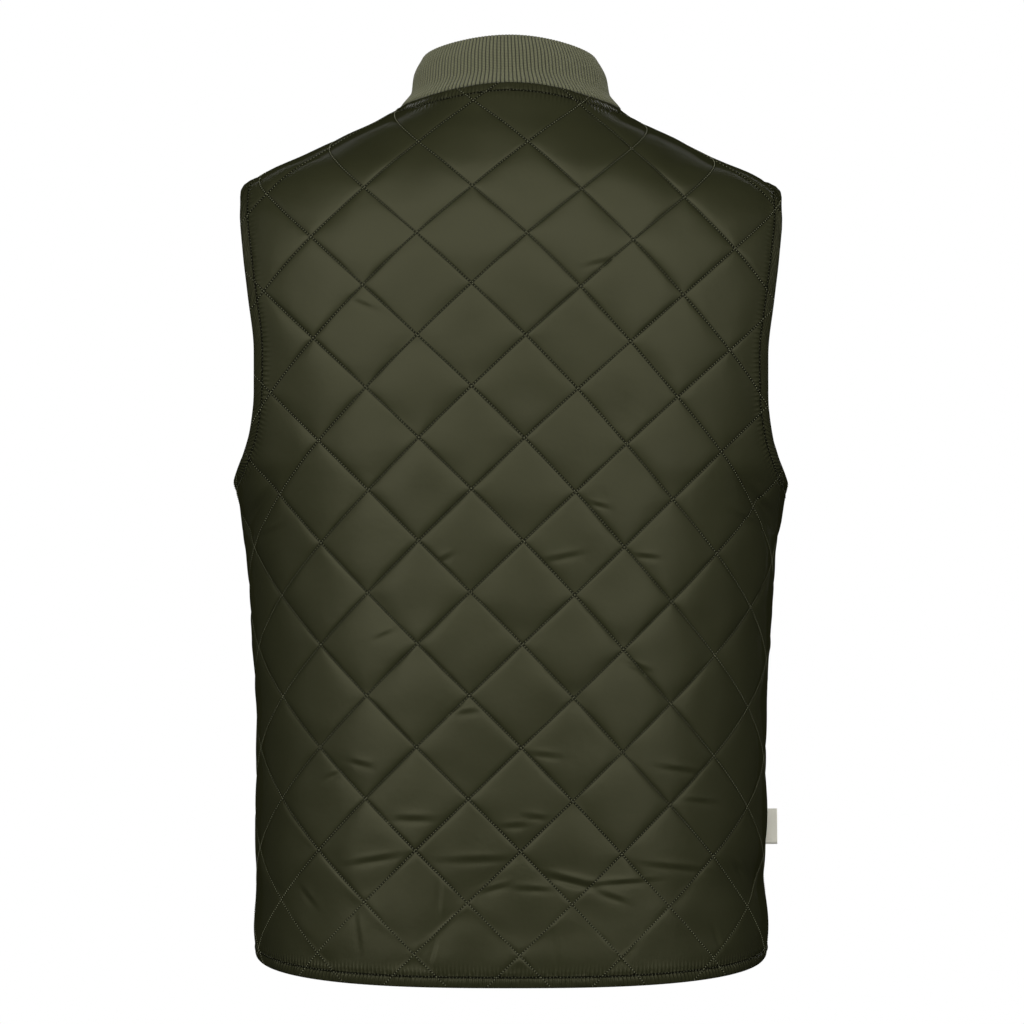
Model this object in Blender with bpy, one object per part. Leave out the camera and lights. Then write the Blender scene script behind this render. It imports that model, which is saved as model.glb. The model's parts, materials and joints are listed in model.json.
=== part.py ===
"""Reversible quilted vest: a back, two fronts, a rib collar, a front zip and a side label.

Sizes are millimetres until a mesh is made. The wearer faces -Y with their left at +X, and
z = 0 is the side neck point, where the garment is held.
"""
import math

import bmesh
import bpy
import numpy as np
from mathutils import Vector
from mathutils.geometry import delaunay_2d_cdt

MM = 0.001

# Inner face of the worn cloth, one row for each level ring.
# back and front are the distances of the centre lines from y = 0, side is the y of the widest point.
SECTION_COLUMNS = ("height", "half_width", "back", "front", "side", "power")
SECTIONS = (
    (30, 50, 44, 8, 2, 2.00),
    (12, 65, 57, 18, 2, 2.00),
    (0, 77, 65, 27, 2, 2.00),
    (-12, 94, 72, 36, 1, 2.05),
    (-27, 124, 81, 47, 0, 2.10),
    (-42, 154, 88, 57, 0, 2.15),
    (-55, 184, 93, 66, 0, 2.20),
    (-66, 203, 96, 73, -1, 2.20),
    (-85, 215, 100, 84, -2, 2.25),
    (-115, 221, 104, 95, -4, 2.30),
    (-150, 222, 106, 103, -6, 2.30),
    (-190, 218, 107, 109, -8, 2.30),
    (-230, 211, 107, 113, -10, 2.30),
    (-258, 206, 106, 114, -11, 2.30),
    (-276, 199.5, 106, 114, -11, 2.30),
    (-300, 193.5, 106, 114, -10, 2.30),
    (-360, 186, 107, 114, -7, 2.30),
    (-460, 181, 111, 116, -4, 2.35),
    (-560, 182, 119, 120, -4, 2.40),
    (-640, 184, 126, 124, -4, 2.40),
)

# Hem level at the three upright lines
HEM_BACK = -627.0
HEM_SIDE = -616.0
HEM_FRONT = -620.0

# Armhole: distance of its cut edges from the middle plane at each height
SHOULDER_TIP = -57.0
UNDERARM = -276.0
ARMHOLE_COLUMNS = ("height", "back_x", "front_x")
ARMHOLE = (
    (-57, 188.0, 188.0),
    (-66, 193.0, 191.5),
    (-80, 193.0, 190.0),
    (-110, 190.0, 183.0),
    (-140, 186.0, 176.0),
    (-180, 181.5, 172.0),
    (-210, 181.5, 175.0),
    (-235, 184.0, 185.0),
    (-255, 189.0, 197.0),
    (-268, 195.0, 200.0),
    (-276, 199.5, 199.5),
)

# Neck seam seen from above
NECK_HALF_WIDTH = 77.0
NECK_BACK = 57.0
NECK_FRONT = 78.0
NECK_SIDE = 2.0

# Quilting
DIAMOND_WIDTH = 74.0
DIAMOND_HEIGHT = 72.0
BACK_CROSSING_ACROSS = -9.0
BACK_CROSSING_HEIGHT = -242.0
FRONT_CROSSING_ACROSS = 24.0
FRONT_CROSSING_HEIGHT = -254.0
QUILT_STATIONS = (0.0, 0.16, 0.5, 0.84)

# Cloth
STITCHED_THICKNESS = 2.0
PADDING_RISE = 4.6
EDGE_THICKNESS = 2.8
PADDING_FADE = 16.0
SEAM_GAP = 0.3
TOPSTITCH = {"hem": 7.5, "armhole": 6.5, "neck": 5.5, "zip": 6.5}
SEAMS = ("side", "shoulder")
INNER_GRID = 36.0
INNER_CLEARANCE = 14.0
EDGE_SPACING = 12.0

# Largest soft folds of the body, inward where depth is negative; across runs from the centre back
FOLD_COLUMNS = ("across", "height", "half_length", "half_width", "depth", "tilt")
FOLDS = (
    (-70, -548, 95, 17, -3.0, 4),
    (120, -566, 80, 16, -2.8, -6),
    (-205, -560, 45, 15, -3.0, 8),
    (-200, -292, 40, 11, -3.2, 38),
    (205, -296, 38, 11, -2.8, -36),
    (20, -470, 85, 20, -2.2, -3),
    (330, -556, 90, 17, -3.0, 5),
    (-345, -540, 85, 17, -2.6, -6),
    (300, -300, 45, 13, -2.8, 40),
    (-300, -304, 45, 13, -2.8, -42),
)

# Collar
COLLAR_HEIGHT = 35.0
COLLAR_LEAN_ACROSS = 0.80
COLLAR_LEAN_DEEP = 0.88
COLLAR_BASE_RUN = 8.0
COLLAR_END_GAP = 1.2
COLLAR_INNER_WALL = 2.0
RIB_PITCH = 3.3
RIB_HEIGHT = 0.9
RIB_STATIONS = ((0.0, 0.0), (0.5, 1.0))
COLLAR_LEVELS = (0.0, 0.3, 0.64, 0.95, 1.0)
LEVEL_STEP = 0.01
COLLAR_TOP_ROUND = 0.9
COLLAR_TOP_EASE = 40.0

# Zip
ZIP_HALF_OPENING = 6.0
TEETH_HALF_WIDTH = 2.6
TEETH_BOTTOM = 0.1
TEETH_TOP = 2.5
TAPE_BOTTOM = 0.8
TAPE_TOP = 1.8
TEETH_GAP = 0.15
TEETH_CUT_BACK = 2.3
ZIP_STEP = 20.0
SLIDER_STATIONS = 5
BOX_HEIGHT = 9.0
BOX_HALF_WIDTH = 2.0
BOX_BOTTOM = -0.4
BOX_TOP = 3.4
SLIDER_BELOW_NECK = 9.0
SLIDER_HALF_LENGTH = 6.0
SLIDER_HALF_WIDTH = 4.0
SLIDER_TIP_HALF_WIDTH = 2.8
SLIDER_NOSE_HALF_WIDTH = 2.2
SLIDER_WAIST = -1.2
SLIDER_SHOULDER = 3.6
POST_LENGTH = 1.8
POST_HALF_WIDTH = 1.6
POST_SETBACK = 0.1
JOIN_OVERLAP = 0.3
PLATE_THICKNESS = 1.3
PLATE_GAP = 0.5
BRIDGE_HALF_LENGTH = 4.2
BRIDGE_HALF_WIDTH = 1.1
BRIDGE_WALL = 1.2
BRIDGE_CLEAR = 2.0
PULL_LENGTH = 30.0
PULL_HALF_WIDTH = 3.2
PULL_THICKNESS = 1.2
PULL_EYE_HALF_WIDTH = 1.6
PULL_EYE_LENGTH = 6.2
PULL_BAR = 0.7
PULL_BAR_CORNER = 0.3
PULL_LEG = 1.1
PULL_CORNER = 1.2

# Side label
LABEL_HEIGHT = -524.0
LABEL_TALL = 26.0
LABEL_THICKNESS = 0.9
LABEL_REACH = 14.5

# Sampling of the surface and of the cut edges
GRID_ROWS = 620
GRID_STATIONS = 320
NORMAL_STEP = 2.5
HEM_STATIONS = 27
ARMHOLE_STATIONS = 27
SHOULDER_STATIONS = 14
NECK_BACK_STATIONS = 25
NECK_FRONT_STATIONS = 34
NECK_FINE_STATIONS = 721
NECK_SEARCH = (-130.0, 29.0)
NECK_SEARCH_STEPS = 40
MERGE_DISTANCE = 0.35
EXACT = 1e-5
ROW_CLEARANCE = 1.5
PADDING_CLEARANCE = 4.0
TOPSTITCH_CLEARANCE = 3.0
CORNER_SLACK = 0.6

# Colour, metallic and roughness of each material slot
MATERIALS = {
    "quilted_nylon": ((0.052, 0.055, 0.030), 0.0, 0.6),
    "rib_knit": ((0.090, 0.098, 0.056), 0.0, 0.9),
    "zip_tape": ((0.030, 0.032, 0.020), 0.0, 0.8),
    "zip_metal": ((0.42, 0.41, 0.38), 1.0, 0.35),
    "label_ribbon": ((0.72, 0.69, 0.58), 0.0, 0.8),
}


def smooth_table(x, table_x, table_y):
    """Monotone cubic through a short table with rising table_x."""
    table_x = np.asarray(table_x, float)
    table_y = np.asarray(table_y, float)
    run = np.diff(table_x)
    grade = np.diff(table_y) / run
    slope = np.zeros(len(table_x))
    slope[0] = grade[0]
    slope[-1] = grade[-1]
    same_way = grade[:-1] * grade[1:] > 0.0
    total = np.where(same_way, grade[:-1] + grade[1:], 1.0)
    slope[1:-1] = np.where(same_way, 2.0 * grade[:-1] * grade[1:] / total, 0.0)
    x = np.clip(x, table_x[0], table_x[-1])
    cell = np.clip(np.searchsorted(table_x, x) - 1, 0, len(run) - 1)
    t = (x - table_x[cell]) / run[cell]
    left = table_y[cell]
    right = table_y[cell + 1]
    left_slope = slope[cell] * run[cell]
    right_slope = slope[cell + 1] * run[cell]
    return (left * (1 + 2 * t) * (1 - t) ** 2 + left_slope * t * (1 - t) ** 2
            + right * t * t * (3 - 2 * t) + right_slope * t * t * (t - 1))


def smooth_step(t):
    t = np.clip(t, 0.0, 1.0)
    return t * t * (3.0 - 2.0 * t)


def table_column(rows, columns, name):
    return np.array([row[columns.index(name)] for row in rows], float)


def even_ring(x, y):
    """Resample each row of a ring to even steps of length; returns lengths and points."""
    steps = np.hypot(np.diff(x, axis=1), np.diff(y, axis=1))
    walked = np.concatenate([np.zeros((len(x), 1)), np.cumsum(steps, axis=1)], axis=1)
    lengths = walked[:, -1]
    share = np.linspace(0.0, 1.0, GRID_STATIONS)
    even_x = [np.interp(share * total, line, row) for total, line, row in zip(lengths, walked, x)]
    even_y = [np.interp(share * total, line, row) for total, line, row in zip(lengths, walked, y)]
    return lengths, np.array(even_x), np.array(even_y)


class Torso:
    """Stacked rings of the inner cloth face, walked from the centre back round to the centre front."""

    def __init__(self):
        rows = SECTIONS[::-1]
        table_heights = table_column(rows, SECTION_COLUMNS, "height")
        self.heights = np.linspace(table_heights[0], table_heights[-1], GRID_ROWS)
        self.sizes = {}
        for name in SECTION_COLUMNS[1:]:
            values = table_column(rows, SECTION_COLUMNS, name)
            self.sizes[name] = smooth_table(self.heights, table_heights, values)
        width, back, front, side, power = (self.sizes[name][:, None] for name in SECTION_COLUMNS[1:])
        turn = np.linspace(0.0, math.pi / 2, 4 * GRID_STATIONS)[None, :]
        sine = np.sin(turn) ** (2.0 / power)
        cosine = np.abs(np.cos(turn)) ** (2.0 / power)
        self.back_length, back_x, back_y = even_ring(width * sine, side + (back - side) * cosine)
        self.front_length, front_x, front_y = even_ring(width * cosine, side - (front + side) * sine)
        self.ring_x = np.concatenate([back_x, front_x[:, 1:]], axis=1)
        self.ring_y = np.concatenate([back_y, front_y[:, 1:]], axis=1)
        self.back_rise = self.centre_rise(self.ring_y[:, 0], HEM_BACK)
        self.front_rise = self.centre_rise(self.ring_y[:, -1], HEM_FRONT)

    def centre_rise(self, depth, hem):
        """Cloth length up a centre line, zero at the hem."""
        steps = np.hypot(np.diff(self.heights), np.diff(depth))
        walked = np.concatenate([[0.0], np.cumsum(steps)])
        return walked - np.interp(hem, self.heights, walked)

    def size(self, name, height):
        return np.interp(height, self.heights, self.sizes[name])

    def back_girth(self, height):
        return np.interp(height, self.heights, self.back_length)

    def front_girth(self, height):
        return np.interp(height, self.heights, self.front_length)

    def point(self, across, height):
        """Point at a signed cloth distance from the centre back along the ring at a height."""
        across = np.asarray(across, float)
        height = np.clip(np.asarray(height, float), self.heights[0], self.heights[-1])
        walked = np.abs(across)
        back = self.back_girth(height)
        front = self.front_girth(height)
        share = np.where(walked < back, walked / back, 1.0 + (walked - back) / front)
        column = np.clip(share, 0.0, 2.0) * (GRID_STATIONS - 1)
        row = (height - self.heights[0]) / (self.heights[1] - self.heights[0])
        low_row = np.clip(row.astype(int), 0, GRID_ROWS - 2)
        low_column = np.clip(column.astype(int), 0, self.ring_x.shape[1] - 2)
        up = row - low_row
        on = column - low_column
        place = []
        for grid in (self.ring_x, self.ring_y):
            low = grid[low_row, low_column] * (1 - on) + grid[low_row, low_column + 1] * on
            high = grid[low_row + 1, low_column] * (1 - on) + grid[low_row + 1, low_column + 1] * on
            place.append(low * (1 - up) + high * up)
        return np.stack([np.where(across < 0, -place[0], place[0]), place[1], height], axis=-1)

    def normal(self, across, height):
        """Unit normal pointing away from the wearer."""
        along = self.point(across + NORMAL_STEP, height) - self.point(across - NORMAL_STEP, height)
        up = self.point(across, height + NORMAL_STEP) - self.point(across, height - NORMAL_STEP)
        outward = np.cross(up, along)
        return outward / np.linalg.norm(outward, axis=-1, keepdims=True)

    def across_at(self, x, height, front_half):
        """Cloth distance from the centre back to the place on a ring that is x from the middle plane."""
        row = (height - self.heights[0]) / (self.heights[1] - self.heights[0])
        low = int(np.clip(row, 0, GRID_ROWS - 2))
        up = row - low
        ring = self.ring_x[low] * (1 - up) + self.ring_x[low + 1] * up
        share = np.linspace(0.0, 1.0, GRID_STATIONS)
        if front_half:
            walked = 1.0 - np.interp(x, ring[GRID_STATIONS - 1:][::-1], share)
            return float(self.back_girth(height) + self.front_girth(height) * walked)
        return float(self.back_girth(height) * np.interp(x, ring[:GRID_STATIONS], share))


TORSO = Torso()


def fold_depth(across, height):
    """How far the soft folds move the cloth along its normal."""
    depth = np.zeros(np.shape(across))
    for row in FOLDS:
        fold = dict(zip(FOLD_COLUMNS, row))
        tilt = math.radians(fold["tilt"])
        run = across - fold["across"]
        lift = height - fold["height"]
        along = (run * math.cos(tilt) + lift * math.sin(tilt)) / fold["half_length"]
        over = (lift * math.cos(tilt) - run * math.sin(tilt)) / fold["half_width"]
        depth += fold["depth"] * np.exp(-along ** 2 - over ** 2)
    return depth


def cloth_point(across, height, thickness):
    """Point of the garment at a thickness above the inner cloth face."""
    lift = np.asarray(thickness) + fold_depth(across, height)
    return TORSO.point(across, height) + TORSO.normal(across, height) * lift[..., None]


def neck_seam(turn):
    """Across and height of the neck seam; turn is 0 at the centre back and pi at the centre front."""
    x = NECK_HALF_WIDTH * math.sin(turn)
    depth = NECK_FRONT + NECK_SIDE if math.cos(turn) < 0.0 else NECK_BACK - NECK_SIDE
    y = NECK_SIDE + depth * math.cos(turn)
    low, high = NECK_SEARCH
    for _ in range(NECK_SEARCH_STEPS):
        middle = 0.5 * (low + high)
        side = TORSO.size("side", middle)
        reach = TORSO.size("front", middle) + side if y < side else TORSO.size("back", middle) - side
        power = TORSO.size("power", middle)
        outside = (x / TORSO.size("half_width", middle)) ** power + (abs(y - side) / reach) ** power
        if outside > 1.0:
            high = middle
        else:
            low = middle
    return TORSO.across_at(x, middle, y < TORSO.size("side", middle)), middle


def neck_line(count, start, end):
    turns = np.linspace(start, end, count)
    return np.array([neck_seam(turn) for turn in turns])


NECK_TURN_AT_SIDE = math.pi / 2
NECK_SIDE_HEIGHT = neck_seam(NECK_TURN_AT_SIDE)[1]
NECK_FRONT_HEIGHT = neck_seam(math.pi)[1]


def armhole_line(front_half):
    """Cut edge of an armhole from the underarm up to the shoulder tip, as across and height."""
    rows = ARMHOLE[::-1]
    heights = table_column(rows, ARMHOLE_COLUMNS, "height")
    edges = table_column(rows, ARMHOLE_COLUMNS, "front_x" if front_half else "back_x")
    turns = np.linspace(0.0, math.pi, ARMHOLE_STATIONS)
    line = []
    for turn in turns:
        height = UNDERARM + (SHOULDER_TIP - UNDERARM) * 0.5 * (1.0 - math.cos(turn))
        x = float(smooth_table(np.array(height), heights, edges))
        across = TORSO.across_at(x, height, front_half)
        seam = TORSO.back_girth(height)
        limit = seam + SEAM_GAP / 2 if front_half else seam - SEAM_GAP / 2
        line.append((max(across, limit) if front_half else min(across, limit), height))
    line[0] = seam_point(UNDERARM, front_half)
    line[-1] = seam_point(SHOULDER_TIP, front_half)
    return np.array(line)


def seam_point(height, front_half):
    """Place beside the side or shoulder seam on one panel."""
    gap = SEAM_GAP / 2 if front_half else -SEAM_GAP / 2
    return (float(TORSO.back_girth(height)) + gap, height)


def seam_line(low, high, front_half):
    count = max(3, int(abs(high - low) / EDGE_SPACING) + 1)
    return np.array([seam_point(height, front_half) for height in np.linspace(low, high, count)])


def shoulder_line(front_half):
    """Shoulder seam from the armhole up to the neck, evenly spaced along its slope."""
    heights = np.linspace(SHOULDER_TIP, NECK_SIDE_HEIGHT - SEAM_GAP, SHOULDER_STATIONS)
    return np.array([seam_point(height, front_half) for height in heights])


def back_outline():
    """Named edges of the flat back, walked anticlockwise from the middle of the hem."""
    hem_across = np.linspace(0.0, seam_point(HEM_SIDE, False)[0], HEM_STATIONS)
    share = hem_across / hem_across[-1]
    hem = np.stack([hem_across, HEM_BACK + (HEM_SIDE - HEM_BACK) * share ** 2], axis=1)
    neck = neck_line(NECK_BACK_STATIONS, NECK_TURN_AT_SIDE, 0.0)
    neck[:, 1] -= SEAM_GAP / 2
    neck[0] = seam_point(NECK_SIDE_HEIGHT - SEAM_GAP, False)
    side = seam_line(HEM_SIDE, UNDERARM, False)
    half = [("hem", hem), ("side", side), ("armhole", armhole_line(False)),
            ("shoulder", shoulder_line(False)), ("neck", neck)]
    mirrored = [(name, line[::-1] * np.array([-1.0, 1.0])) for name, line in reversed(half)]
    return half + mirrored


def front_outline():
    """Named edges of a flat front; across is still measured from the centre back."""
    side_across = seam_point(HEM_SIDE, True)[0]
    zip_across = half_girth(HEM_FRONT) - ZIP_HALF_OPENING
    hem_across = np.linspace(zip_across, side_across, HEM_STATIONS)
    share = (zip_across - hem_across) / (zip_across - side_across)
    hem = np.stack([hem_across, HEM_FRONT + (HEM_SIDE - HEM_FRONT) * share ** 2], axis=1)
    neck = neck_line(NECK_FRONT_STATIONS, NECK_TURN_AT_SIDE, math.pi)
    neck[:, 1] -= SEAM_GAP / 2
    neck[0] = seam_point(NECK_SIDE_HEIGHT - SEAM_GAP, True)
    from_front = half_girth(neck[:, 1]) - neck[:, 0]
    keep = from_front > ZIP_HALF_OPENING + 1.0
    top_height = float(np.interp(ZIP_HALF_OPENING, from_front[::-1], neck[::-1, 1]))
    neck = np.vstack([neck[keep], [(half_girth(top_height) - ZIP_HALF_OPENING, top_height)]])
    zip_heights = np.linspace(top_height, HEM_FRONT, int((top_height - HEM_FRONT) / EDGE_SPACING))
    zip_edge = np.stack([half_girth(zip_heights) - ZIP_HALF_OPENING, zip_heights], axis=1)
    side = seam_line(HEM_SIDE, UNDERARM, True)
    return [("hem", hem), ("side", side), ("armhole", armhole_line(True)),
            ("shoulder", shoulder_line(True)), ("neck", neck), ("zip", zip_edge)]


def half_girth(height):
    return TORSO.back_girth(height) + TORSO.front_girth(height)


class Pattern:
    """A flat panel: across from its own centre line, and rise up that line from the hem."""

    def __init__(self, edges, front_half):
        self.front_half = front_half
        self.rise_table = TORSO.front_rise if front_half else TORSO.back_rise
        self.edges = [(name, self.flatten(line[:, 0], line[:, 1])) for name, line in edges]
        if front_half:
            crossing_height = FRONT_CROSSING_HEIGHT
            self.crossing_across = FRONT_CROSSING_ACROSS
        else:
            crossing_height = BACK_CROSSING_HEIGHT
            self.crossing_across = BACK_CROSSING_ACROSS
        self.crossing_rise = float(np.interp(crossing_height, TORSO.heights, self.rise_table))

    def flatten(self, across, height):
        rise = np.interp(height, TORSO.heights, self.rise_table)
        if self.front_half:
            across = half_girth(height) - across
        return np.stack([across, rise], axis=1)

    def body_place(self, flat):
        """Across from the centre back and height for flat points."""
        height = np.interp(flat[:, 1], self.rise_table, TORSO.heights)
        across = half_girth(height) - flat[:, 0] if self.front_half else flat[:, 0]
        return across, height

    def outline(self):
        """Closed loop of flat points with no point twice."""
        points = np.vstack([line for name, line in self.edges])
        steps = np.linalg.norm(points - np.roll(points, 1, axis=0), axis=1)
        return points[steps > EXACT]

    def quilt_place(self, flat):
        """Diamond coordinates, whole numbers on the rows of stitches."""
        run = (flat[:, 0] - self.crossing_across) / DIAMOND_WIDTH
        lift = (flat[:, 1] - self.crossing_rise) / DIAMOND_HEIGHT
        return np.stack([run + lift, run - lift], axis=1)

    def quilt_point(self, first, second):
        """Flat point with the given diamond coordinates."""
        return np.stack([self.crossing_across + DIAMOND_WIDTH * 0.5 * (first + second),
                         self.crossing_rise + DIAMOND_HEIGHT * 0.5 * (first - second)], axis=-1)

    def edge_distance(self, flat, names):
        """Distance from flat points to the nearest of the named edges."""
        nearest = np.full(len(flat), np.inf)
        for name, line in self.edges:
            if name in names:
                nearest = np.minimum(nearest, line_distance(flat, line))
        return nearest

    def thickness(self, flat):
        """Height of the outer face: padding between rows of stitches, pressed flat towards edges."""
        place = self.quilt_place(flat)
        across_diamond = np.abs(2.0 * (place - np.floor(place)) - 1.0)
        padding = np.prod(1.0 - across_diamond ** 3, axis=1)
        edge = np.full(len(flat), STITCHED_THICKNESS)
        for name, offset in TOPSTITCH.items():
            gap = self.edge_distance(flat, (name,))
            padding = padding * smooth_step((gap - offset) / PADDING_FADE)
            rolled = np.clip(1.0 - gap / offset, 0.0, 1.0)
            edge = np.maximum(edge, STITCHED_THICKNESS + (EDGE_THICKNESS - STITCHED_THICKNESS) * rolled)
        padding = padding * smooth_step(self.edge_distance(flat, SEAMS) / PADDING_FADE)
        return edge + PADDING_RISE * padding


def line_distance(points, line):
    """Distance from each point to a polyline."""
    nearest = np.full(len(points), np.inf)
    for start, end in zip(line[:-1], line[1:]):
        step = end - start
        share = np.clip((points - start) @ step / max(step @ step, 1e-12), 0.0, 1.0)
        foot = start + share[:, None] * step
        nearest = np.minimum(nearest, np.linalg.norm(points - foot, axis=1))
    return nearest


def inside_loop(points, loop):
    """Even-odd test of points against a closed loop."""
    inside = np.zeros(len(points), bool)
    for start, end in zip(loop, np.roll(loop, -1, axis=0)):
        spans = (start[1] > points[:, 1]) != (end[1] > points[:, 1])
        rise = end[1] - start[1] if end[1] != start[1] else 1.0
        meets = start[0] + (points[:, 1] - start[1]) * (end[0] - start[0]) / rise
        inside ^= spans & (points[:, 0] < meets)
    return inside


def quilt_net(pattern, loop):
    """Flat points on and between the rows of stitches, and the edges that keep the rows as creases."""
    corners = pattern.quilt_place(loop)
    low = np.floor(corners.min(axis=0)).astype(int)
    high = np.ceil(corners.max(axis=0)).astype(int)
    first = [row + part for row in range(low[0], high[0]) for part in QUILT_STATIONS]
    second = [row + part for row in range(low[1], high[1]) for part in QUILT_STATIONS]
    grid_first, grid_second = np.meshgrid(first, second, indexing="ij")
    points = pattern.quilt_point(grid_first, grid_second)
    flat = points.reshape(-1, 2)
    on_row = (grid_first % 1.0 == 0.0) | (grid_second % 1.0 == 0.0)
    clear = line_distance(flat, np.vstack([loop, loop[:1]])).reshape(on_row.shape)
    within = inside_loop(flat, loop).reshape(on_row.shape)
    keep = within & (clear > np.where(on_row, ROW_CLEARANCE, PADDING_CLEARANCE))
    index = np.full(on_row.shape, -1)
    index[keep] = np.arange(np.count_nonzero(keep))
    edges = []
    for (i, j), found in np.ndenumerate(index):
        if found < 0:
            continue
        if first[i] % 1.0 == 0.0 and j + 1 < len(second) and index[i, j + 1] >= 0:
            edges.append((found, index[i, j + 1]))
        if second[j] % 1.0 == 0.0 and i + 1 < len(first) and index[i + 1, j] >= 0:
            edges.append((found, index[i + 1, j]))
    return points[keep], edges


def topstitch_line(pattern, loop, name):
    """Runs of flat points along a topstitched edge, moved in by its stitching distance."""
    runs = []
    for edge_name, line in pattern.edges:
        if edge_name != name:
            continue
        run = np.gradient(line, axis=0)
        run = run / np.linalg.norm(run, axis=1, keepdims=True)
        inward = np.stack([-run[:, 1], run[:, 0]], axis=1)
        moved = line + inward * TOPSTITCH[name]
        others = [other for other in list(TOPSTITCH) + list(SEAMS) if other != name]
        room = pattern.edge_distance(moved, others)
        own = pattern.edge_distance(moved, (name,))
        fits = inside_loop(moved, loop) & (room > TOPSTITCH_CLEARANCE) & (own > TOPSTITCH[name] - CORNER_SLACK)
        runs.append(moved[fits])
    return runs


def triangulate(points, edges, loops, merge):
    """Triangles of the first loop without the areas of the later loops; all points share one list."""
    coords = [Vector((float(x), float(y))) for x, y in points]
    result = delaunay_2d_cdt(coords, edges, loops, 0, merge, True)
    flat = np.array([(vertex.x, vertex.y) for vertex in result[0]])
    triangles = [list(face) for face, sources in zip(result[2], result[5]) if list(sources) == [0]]
    triangles = [face if signed_area(flat[face]) > 0 else face[::-1] for face in triangles]
    used = sorted({corner for face in triangles for corner in face})
    renumber = {old: new for new, old in enumerate(used)}
    return flat[used], [[renumber[corner] for corner in face] for face in triangles]


def signed_area(corners):
    (ax, ay), (bx, by), (cx, cy) = corners
    return 0.5 * ((bx - ax) * (cy - ay) - (cx - ax) * (by - ay))


def rim_edges(triangles):
    """Directed edges that belong to one triangle only."""
    seen = {}
    for face in triangles:
        for start, end in zip(face, face[1:] + face[:1]):
            seen[(start, end)] = True
    return [edge for edge in seen if (edge[1], edge[0]) not in seen]


def outer_face(pattern, loop):
    net, net_edges = quilt_net(pattern, loop)
    points = [loop, net]
    edges = [(a + len(loop), b + len(loop)) for a, b in net_edges]
    count = len(loop) + len(net)
    for name in TOPSTITCH:
        for run in topstitch_line(pattern, loop, name):
            points.append(run)
            edges += [(count + i, count + i + 1) for i in range(len(run) - 1)]
            count += len(run)
    return triangulate(np.vstack(points), edges, [list(range(len(loop)))], MERGE_DISTANCE)


def inner_face(rim):
    """Plain coarse triangles inside the rim of the outer face."""
    low = rim.min(axis=0)
    high = rim.max(axis=0)
    grid = np.array([(x, y) for x in np.arange(low[0], high[0], INNER_GRID)
                     for y in np.arange(low[1], high[1], INNER_GRID)])
    clear = line_distance(grid, np.vstack([rim, rim[:1]]))
    grid = grid[inside_loop(grid, rim) & (clear > INNER_CLEARANCE)]
    return triangulate(np.vstack([rim, grid]), [], [list(range(len(rim)))], EXACT)


def ordered_rim(triangles):
    """The single closed loop round a set of triangles."""
    following = dict(rim_edges(triangles))
    start = next(iter(following))
    loop = [start]
    while following[loop[-1]] != start:
        loop.append(following[loop[-1]])
    return loop


def quilted_panel(pattern, name, mirror):
    """Closed quilted wall wrapped on the body: padded outer face, plain inner face and a rim."""
    outer, outer_triangles = outer_face(pattern, pattern.outline())
    rim = ordered_rim(outer_triangles)
    inner, inner_triangles = inner_face(outer[rim])
    across, height = pattern.body_place(outer)
    outer_points = cloth_point(across, height, pattern.thickness(outer))
    across, height = pattern.body_place(inner)
    inner_points = cloth_point(across, height, np.zeros(len(inner)))
    shift = len(outer)
    faces = list(outer_triangles)
    faces += [[corner + shift for corner in face[::-1]] for face in inner_triangles]
    for i, corner in enumerate(rim):
        after = (i + 1) % len(rim)
        faces.append([rim[after], corner, shift + i])
        faces.append([rim[after], shift + i, shift + after])
    points = np.vstack([outer_points, inner_points])
    if mirror:
        points = points * np.array([-1.0, 1.0, 1.0])
    return make_object(name, points, faces, "quilted_nylon")


def make_material(name, slot):
    """Principled material of one piece, in its slot's colour."""
    colour, metallic, roughness = MATERIALS[slot]
    material = bpy.data.materials.new(name)
    material.use_nodes = True
    shader = material.node_tree.nodes["Principled BSDF"]
    shader.inputs["Base Color"].default_value = colour + (1.0,)
    shader.inputs["Metallic"].default_value = metallic
    shader.inputs["Roughness"].default_value = roughness
    return material


def make_object(name, points, faces, slot, origin=(0.0, 0.0, 0.0)):
    """Mesh object in metres at its origin, with its material and its faces turned outward."""
    mesh = bpy.data.meshes.new(name)
    local = (np.asarray(points) - np.asarray(origin)) * MM
    mesh.from_pydata(local.tolist(), [], [list(map(int, face)) for face in faces])
    work = bmesh.new()
    work.from_mesh(mesh)
    bmesh.ops.recalc_face_normals(work, faces=work.faces[:])
    work.to_mesh(mesh)
    work.free()
    mesh.materials.append(make_material(name, slot))
    thing = bpy.data.objects.new(name, mesh)
    thing.location = np.asarray(origin) * MM
    bpy.context.scene.collection.objects.link(thing)
    return thing


def collar_stations():
    """Neck seam from one front end round the back to the other, one station for each rib corner."""
    fine = neck_line(NECK_FINE_STATIONS, 0.0, math.pi)
    points = TORSO.point(fine[:, 0], fine[:, 1])
    from_front = half_girth(fine[:, 1]) - fine[:, 0]
    walked = np.concatenate([[0.0], np.cumsum(np.linalg.norm(np.diff(points, axis=0), axis=1))])
    end = float(np.interp(-COLLAR_END_GAP, -from_front, walked))
    ribs = int(2 * end / RIB_PITCH)
    corners = [(rib + part, raised) for rib in range(ribs) for part, raised in RIB_STATIONS]
    corners = np.array(corners + [(ribs, 0.0)])
    signed = -end + 2 * end * corners[:, 0] / ribs
    across = np.sign(signed) * np.interp(np.abs(signed), walked, fine[:, 0])
    height = np.interp(np.abs(signed), walked, fine[:, 1])
    return across, height, corners[:, 1]


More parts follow.
